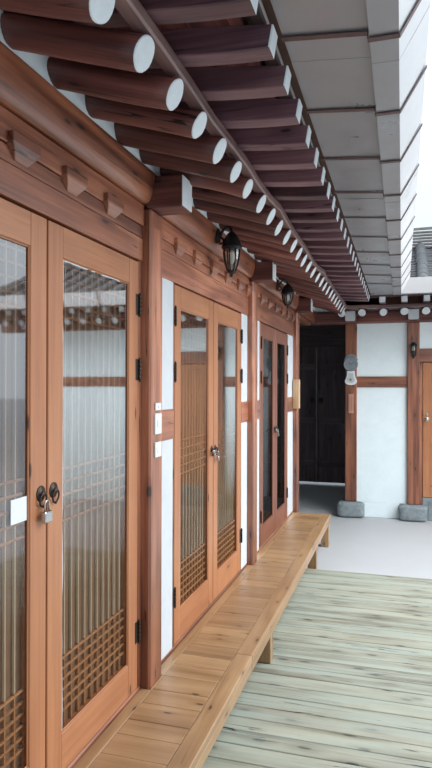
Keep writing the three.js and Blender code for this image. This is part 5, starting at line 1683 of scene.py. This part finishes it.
zr = lambda d: rz(d) + 53.5 - 6
boards(W, 1302, 1549, 906, 8300, zr, 8, 0, lambda d: (402, RIDGE_Y - d - 1))
boards(N, 1302, 1549, 5, 4870, zr, 8, 0, lambda d: (RIDGE_X + d + 1, 4873))
boards(W, 1552, 2000, 0, 0, lambda d: 2770 - 0.114 * (d - 1750) + 41, 7, 0, lambda d: (402, RIDGE_Y - d - 1))
boards(N, 1552, 2000, 0, 0, lambda d: 2770 - 0.114 * (d - 1750) + 41, 7, 0, lambda d: (RIDGE_X + d + 1, 4873))
boards(WO, 1302, 1943, 0, 0, zr, 8, 0, lambda d: (402, RIDGE_Y + d - 1))
boards(NO, 1302, 1943, 0, 0, zr, 8, 0, lambda d: (RIDGE_X - d + 1, 4873))
for F, d0 in ((W, 20), (WO, 20)):
    boards(F, d0, 1302, 402, 926, zr, 8)
for F, d0 in ((N, 20), (NO, 20)):
    boards(F, d0, 1302, 4352, 4873, zr, 8)
done(outward(k.build("eaves_boards", [RAFTER])), "root")

# bargeboards along the gables
k = Kit()
for F, zf, s0, s1, de in ((W, zin, ROOF_S + 2, ROOF_S + 34, 1960), (WO, zout, ROOF_S + 2, ROOF_S + 34, 2080), (N, zin, ROOF_E - 34, ROOF_E - 2, 1960), (NO, zout, ROOF_E - 34, ROOF_E - 2, 2080)):
    ds = np.linspace(2, de, 15)
    secs = []
    for d in ds:
        h = np.interp(d, [0, 800, de], [430, 330, 250])
        lo = zf(d) - 78 - h
        if d > 1500:
            lo = max(lo, 2640)
        secs.append([(s0, lo + 6), (s0 + 6, lo), (s1 - 6, lo), (s1, lo + 6), (s1, zf(d) - 80), (s0, zf(d) - 80)])
    n = 6
    V, G = [], []
    for d, sec in zip(ds, secs):
        for s, z in sec:
            V.append(F(d, s, z))
            G.append((d, s, z))
    j = np.arange(n)
    kk = (j + 1) % n
    base = k.n
    q = np.concatenate([np.stack([i * n + j, i * n + kk, (i + 1) * n + kk, (i + 1) * n + j], 1) for i in range(len(ds) - 1)])
    k.add(V, [q], G, 0, False, 0.45)
    k.polys.setdefault((n, 0, False), []).append(np.arange(n)[::-1][None] + base)
    k.polys.setdefault((n, 0, False), []).append((np.arange(n) + (len(ds) - 1) * n)[None] + base)
done(outward(k.build("bargeboards", [TIMBER])), "root")

# ---------------------------------------------------------------------------
# fittings on the walls
# ---------------------------------------------------------------------------
def lantern(name, x, y, ztop, zbrim, zbody, wall, py, pz):
    """Ribbed iron lantern under a domed cap, hung from a bent arm on the purlin."""
    k, g = Kit(), Kit()
    # back plate, arm and scroll
    prism(k, [(py - 20, pz - 48), (py + 20, pz - 48), (py + 32, pz - 26), (py + 34, pz), (py + 30, pz + 26), (py + 16, pz + 46), (py - 16, pz + 46), (py - 30, pz + 26), (py - 34, pz), (py - 32, pz - 26)], "x", wall - 6, wall + 11, 4)
    lathe(k, (wall + 10, py, pz), (1, 0, 0), [(0, 22), (5, 20), (9, 13), (14, 11)], 16, 0, 0.5)
    c = [np.array(q, float) for q in ((wall + 14, py, pz - 4), (wall + 42, py, ztop + 34), (x - 6, y, ztop + 44), (x, y, ztop - 2))]
    tube(k, [(1 - u) ** 3 * c[0] + 3 * u * (1 - u) ** 2 * c[1] + 3 * u * u * (1 - u) * c[2] + u ** 3 * c[3] for u in np.linspace(0, 1, 16)], 9.0, 10)
    curl = [(wall + 14 + 24 * math.sin(u * 4.4) * (1 - 0.5 * u) + 14 * u, py, pz - 22 - 16 * u + 13 * math.cos(u * 4.4)) for u in np.linspace(0, 1, 14)]
    tube(k, curl, 5.5, 8)
    h = ztop - zbrim
    lathe(k, (x, y, ztop), (0, 0, -1), [(-8, 3), (-3, 9), (3, 7), (6, 12), (0.12 * h, 21), (0.26 * h, 33), (0.44 * h, 45), (0.64 * h, 54), (0.86 * h, 60), (h - 4, 63), (h, 64), (h + 3, 61), (h + 5, 52)], 24, 0, 0.5)
    H = zbrim - zbody
    prof = [(0.0, 52), (0.25, 51), (0.5, 46.5), (0.72, 39), (0.9, 30), (1.0, 24)]
    lathe(g, (x, y, zbrim), (0, 0, -1), [(f * H, r - 3) for f, r in prof], 8, 0, 0.5, False)
    ex, ey, ez = frame_of((0, 0, -1))
    for q in range(8):
        u = np.cos(q * np.pi / 4) * ey + np.sin(q * np.pi / 4) * ez
        tube(k, [np.array([x, y, zbrim - f * H]) + u * r for f, r in prof], 4.2, 6)
    lathe(k, (x, y, zbrim - 2), (0, 0, -1), [(0, 55), (3, 57), (8, 56), (10, 53)], 24, 0, 0.5)
    lathe(k, (x, y, zbody + 4), (0, 0, -1), [(0, 27), (4, 29), (9, 27), (14, 17), (20, 8), (25, 6), (29, 9), (33, 7), (38, 2)], 16, 0, 0.5)
    lathe(g, (x, y, zbrim - 8), (0, 0, -1), [(0, 10), (0.12 * H, 15), (0.32 * H, 21), (0.5 * H, 17), (0.62 * H, 5)], 14, 1, 0.5)
    done(outward(k.build(f"{name}_iron", [LAMPIRON])), "root")
    done(outward(g.build(f"{name}_glass", [LAMPGLASS, BULB])), "root")


lantern("lantern_1", 146, 3670, 2668, 2564, 2418, 60, 3655, 2638)
lantern("lantern_2", 146, 5612, 2654, 2562, 2458, 60, 5560, 2632)

# flat iron wall lamp on the second post of the north wing
k, g = Kit(), Kit()
x, y = 1289, 8300
bar(k, x - 30, x + 30, y - 10, y + 1, 2110, 2240, 2.5, "z")
lathe(k, (x, y - 62, 2276), (0, 0, -1), [(0, 5), (8, 20), (24, 44), (38, 50), (44, 46)], 8, 0, 0.5, False)
lathe(g, (x, y - 62, 2233), (0, 0, -1), [(0, 38), (120, 27)], 8, 0, 0.5, False)
for q in range(8):
    a = q * np.pi / 4
    ex, ey, ez = frame_of((0, 0, -1))
    u = np.cos(a) * ey + np.sin(a) * ez
    tube(k, [np.array([x, y - 62, 2234.0]) + u * 39.5, np.array([x, y - 62, 2112.0]) + u * 28.5], 3, 6)
lathe(k, (x, y - 62, 2115), (0, 0, -1), [(0, 31), (8, 33), (16, 28), (30, 16), (44, 9), (54, 2)], 8, 0, 0.5, False)
tube(k, [(x, y - 8, 2200), (x, y - 24, 2236), (x, y - 45, 2262), (x, y - 62, 2266)], 6, 8)
lathe(g, (x, y - 62, 2226), (0, 0, -1), [(0, 9), (14, 14), (40, 20), (58, 15), (68, 5)], 12, 1, 0.5)
done(outward(k.build("post_lamp_iron", [LAMPIRON])), "root")
done(outward(g.build("post_lamp_glass", [LAMPGLASS, BULB])), "root")

# pendulum clock on the first post of the north wing, with a plain dial of bars
k = Kit()
cx, cz, fy = 508, 2000, 8299
oct_ = [(cx + 92 * math.cos(a), cz + 92 * math.sin(a)) for a in np.linspace(0, 2 * np.pi, 33)[:-1]]
prism(k, [(a, b) for a, b in oct_], "y", fy - 34, fy, 5, 0, 0.5)
lathe(k, (cx, fy - 33, cz), (0, -1, 0), [(0, 90), (5, 92), (10, 88), (11, 80), (7, 76)], 36, 0, 0.5)
lathe(k, (cx, fy - 33, cz), (0, -1, 0), [(0, 77), (5, 77), (5.6, 70)], 36, 1, 0.5)
for h in range(12):
    a = h * np.pi / 6
    u = np.array([math.sin(a), 0, math.cos(a)])
    c0 = np.array([cx, fy - 39.6, cz])
    member(k, c0 + u * (58 if h % 3 == 0 else 62), c0 + u * 70, 4.4 if h % 3 == 0 else 2.6, 1.2, 0.3, (0, 1, 0), 2)
for a, L, w in ((math.radians(305), 38, 5), (math.radians(60), 56, 3.6)):
    u = np.array([math.sin(a), 0, math.cos(a)])
    c0 = np.array([cx, fy - 41.0, cz])
    member(k, c0 - u * 9, c0 + u * L, w, 1.2, 0.3, (0, 1, 0), 2)
lathe(k, (cx, fy - 39, cz), (0, -1, 0), [(0, 5), (3.4, 4.4), (4.4, 1)], 12, 2, 0.5)
side = [(50, 1912), (50, 1868), (56, 1836), (68, 1806), (79, 1786), (78, 1768), (66, 1748), (44, 1733), (18, 1726)]
prism(k, [(cx + a, b) for a, b in side] + [(cx - a, b) for a, b in side[::-1]], "y", fy - 30, fy, 6, 1, 0.5)
side = [(32, 1884), (36, 1842), (46, 1812), (52, 1792), (44, 1768), (20, 1756)]
prism(k, [(cx + a, b) for a, b in side] + [(cx - a, b) for a, b in side[::-1]], "y", fy - 33, fy - 27, 1.5, 3, 0.5)
lathe(k, (cx, fy - 33, 1796), (0, -1, 0), [(0, 17), (3, 16), (4.5, 10), (5, 2)], 20, 4, 0.5)
bar(k, cx - 1.6, cx + 1.6, fy - 36, fy - 33, 1812, 1880, 0.8, "z", 4)
top_ = [(cx + (96 + 14 * math.sin(a)) * math.cos(a), cz + (96 + 38 * math.sin(a)) * math.sin(a)) for a in np.linspace(0.45, np.pi - 0.45, 15)]
prism(k, top_, "y", fy - 22, fy, 4, 0, 0.5)
done(outward(k.build("post_clock", [CLOCKCASE, PLASTIC, IRON, CLOCKPANEL, BRASS])), "root")

# bare wooden plates and box on the posts
k = Kit()
bar(k, 508 - 33, 508 + 33, 8288, 8300.5, 1357, 1610, 4, "z", 0, 0.9)
bar(k, 508 - 24, 508 + 24, 8286.5, 8290, 1392, 1575, 2, "z", 0, 0.7)
bar(k, 2, 78, 6735, 6786, 1467, 1787, 5, "z", 1, 0.9)
bar(k, 9, 71, 6731, 6737, 1490, 1764, 3, "z", 1, 0.7)
done(outward(k.build("bare_wood_plates", [PLATEW, BOXW])), "root")
# switch plates on the post between the first and the second pair
k = Kit()
for z0, z1, w in ((1601, 1637, 34), (1489, 1588, 40), (1381, 1453, 38)):
    bar(k, 44.5, 53, 2716 - w, 2716 + w, z0, z1, 3, "y", 0, 0.5)
bar(k, 52.5, 56, 2716 - 16, 2716 + 16, 1522, 1556, 1.5, "z", 0, 0.7)
bar(k, 52.5, 55, 2716 - 20, 2716 + 20, 1402, 1432, 1.2, "z", 0, 0.4)
lathe(k, (52.6, 2716, 1619), (1, 0, 0), [(0, 9), (2, 8.6), (3, 5)], 16, 0, 0.5)
done(outward(k.build("switch_plates", [PLASTIC])), "root")

# ---------------------------------------------------------------------------
# stage: floor, light, camera
# ---------------------------------------------------------------------------
fm = Nodes("studio_floor")
fp = fm.position()
fn = fm.noise(fp, 0.6, 4, 0.6)
fm.link(fm.ramp(fn, [(0.3, (0.41, 0.42, 0.43)), (0.7, (0.46, 0.47, 0.48))]), fm.b.inputs["Base Color"])
fm.b.inputs["Roughness"].default_value = 0.7
me = bpy.data.meshes.new("floor")
me.from_pydata([(-60, -60, -0.001), (60, -60, -0.001), (60, 60, -0.001), (-60, 60, -0.001)], [], [(0, 1, 2, 3)])
me.materials.append(fm.m)
floor = bpy.data.objects.new("floor", me)
bpy.context.scene.collection.objects.link(floor)
floor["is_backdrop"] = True

world = bpy.data.worlds.new("soft_sky")
world.use_nodes = True
wt = world.node_tree
bg = wt.nodes["Background"]
bg.inputs[0].default_value = (0.80, 0.90, 1.0, 1)
tc = wt.nodes.new("ShaderNodeTexCoord")
sx = wt.nodes.new("ShaderNodeSeparateXYZ")
wt.links.new(tc.outputs["Generated"], sx.inputs[0])
wr = wt.nodes.new("ShaderNodeValToRGB")
el = wr.color_ramp.elements
el[0].position, el[0].color = 0.50, (0.62, 0.62, 0.62, 1)
el[1].position, el[1].color = 1.0, (1.0, 1.0, 1.0, 1)
for pp, vv in ((0.56, 0.66), (0.67, 0.80)):
    e2 = el.new(pp)
    e2.color = (vv, vv, vv, 1)
mp = wt.nodes.new("ShaderNodeMath")
mp.operation = "MULTIPLY_ADD"
wt.links.new(sx.outputs[2], mp.inputs[0])
mp.inputs[1].default_value = 0.5
mp.inputs[2].default_value = 0.5
wt.links.new(mp.outputs[0], wr.inputs[0])
ms = wt.nodes.new("ShaderNodeMath")
ms.operation = "MULTIPLY"
wt.links.new(wr.outputs[0], ms.inputs[0])
md = wt.nodes.new("ShaderNodeMapRange")       # duller sky over the south end
md.inputs[1].default_value, md.inputs[2].default_value = -0.9, 0.1
md.inputs[3].default_value, md.inputs[4].default_value = 0.65, 1.6
wt.links.new(sx.outputs[1], md.inputs[0])
wt.links.new(md.outputs[0], ms.inputs[1])
wt.links.new(ms.outputs[0], bg.inputs[1])
bpy.context.scene.world = world


def area(name, loc, target, size, power, col=(1, 1, 1)):
    li = bpy.data.lights.new(name, "AREA")
    li.shape = "RECTANGLE"
    li.size, li.size_y = size
    li.energy = power
    li.color = col
    ob = bpy.data.objects.new(name, li)
    bpy.context.scene.collection.objects.link(ob)
    ob.location = loc
    d = Vector(target) - Vector(loc)
    ob.rotation_euler = d.to_track_quat("-Z", "Y").to_euler()
    return ob


area("court_sky", (4.6, -1.0, 6.0), (-0.4, -1.5, 1.0), (6, 9), 780, (0.93, 0.97, 1.0))
area("court_bounce", (2.8, -1.2, 0.12), (-0.5, -1.4, 2.6), (2.4, 5.5), 70, (1.0, 0.97, 0.95)).visible_glossy = False
area("end_sky", (2.6, -0.8, 4.6), (0.9, 2.3, 1.3), (3, 3), 180, (0.93, 0.97, 1.0))
area("south_fill", (2.5, -10.0, 4.0), (0.0, 0.0, 1.2), (6, 4), 40, (0.93, 0.97, 1.0))

bpy.context.scene.view_settings.view_transform = "Standard"

cam = bpy.data.cameras.new("photo_view")
cam.lens = 29.02
cam.sensor_width = 36
cam.clip_start = 0.05
cam.clip_end = 200
co = bpy.data.objects.new("photo_view", cam)
bpy.context.scene.collection.objects.link(co)
co.location = (0.4125, -6.0725, 1.720)
co.rotation_euler = (Matrix.Rotation(math.radians(16.72), 3, "Z") @ Matrix.Rotation(math.radians(90.12), 3, "X") @ Matrix.Rotation(math.radians(0.14), 3, "Z")).to_euler()
bpy.context.scene.camera = co

b = [list(map(float, c)) for c in CAD_BOX]
v = [list(map(float, c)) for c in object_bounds()]
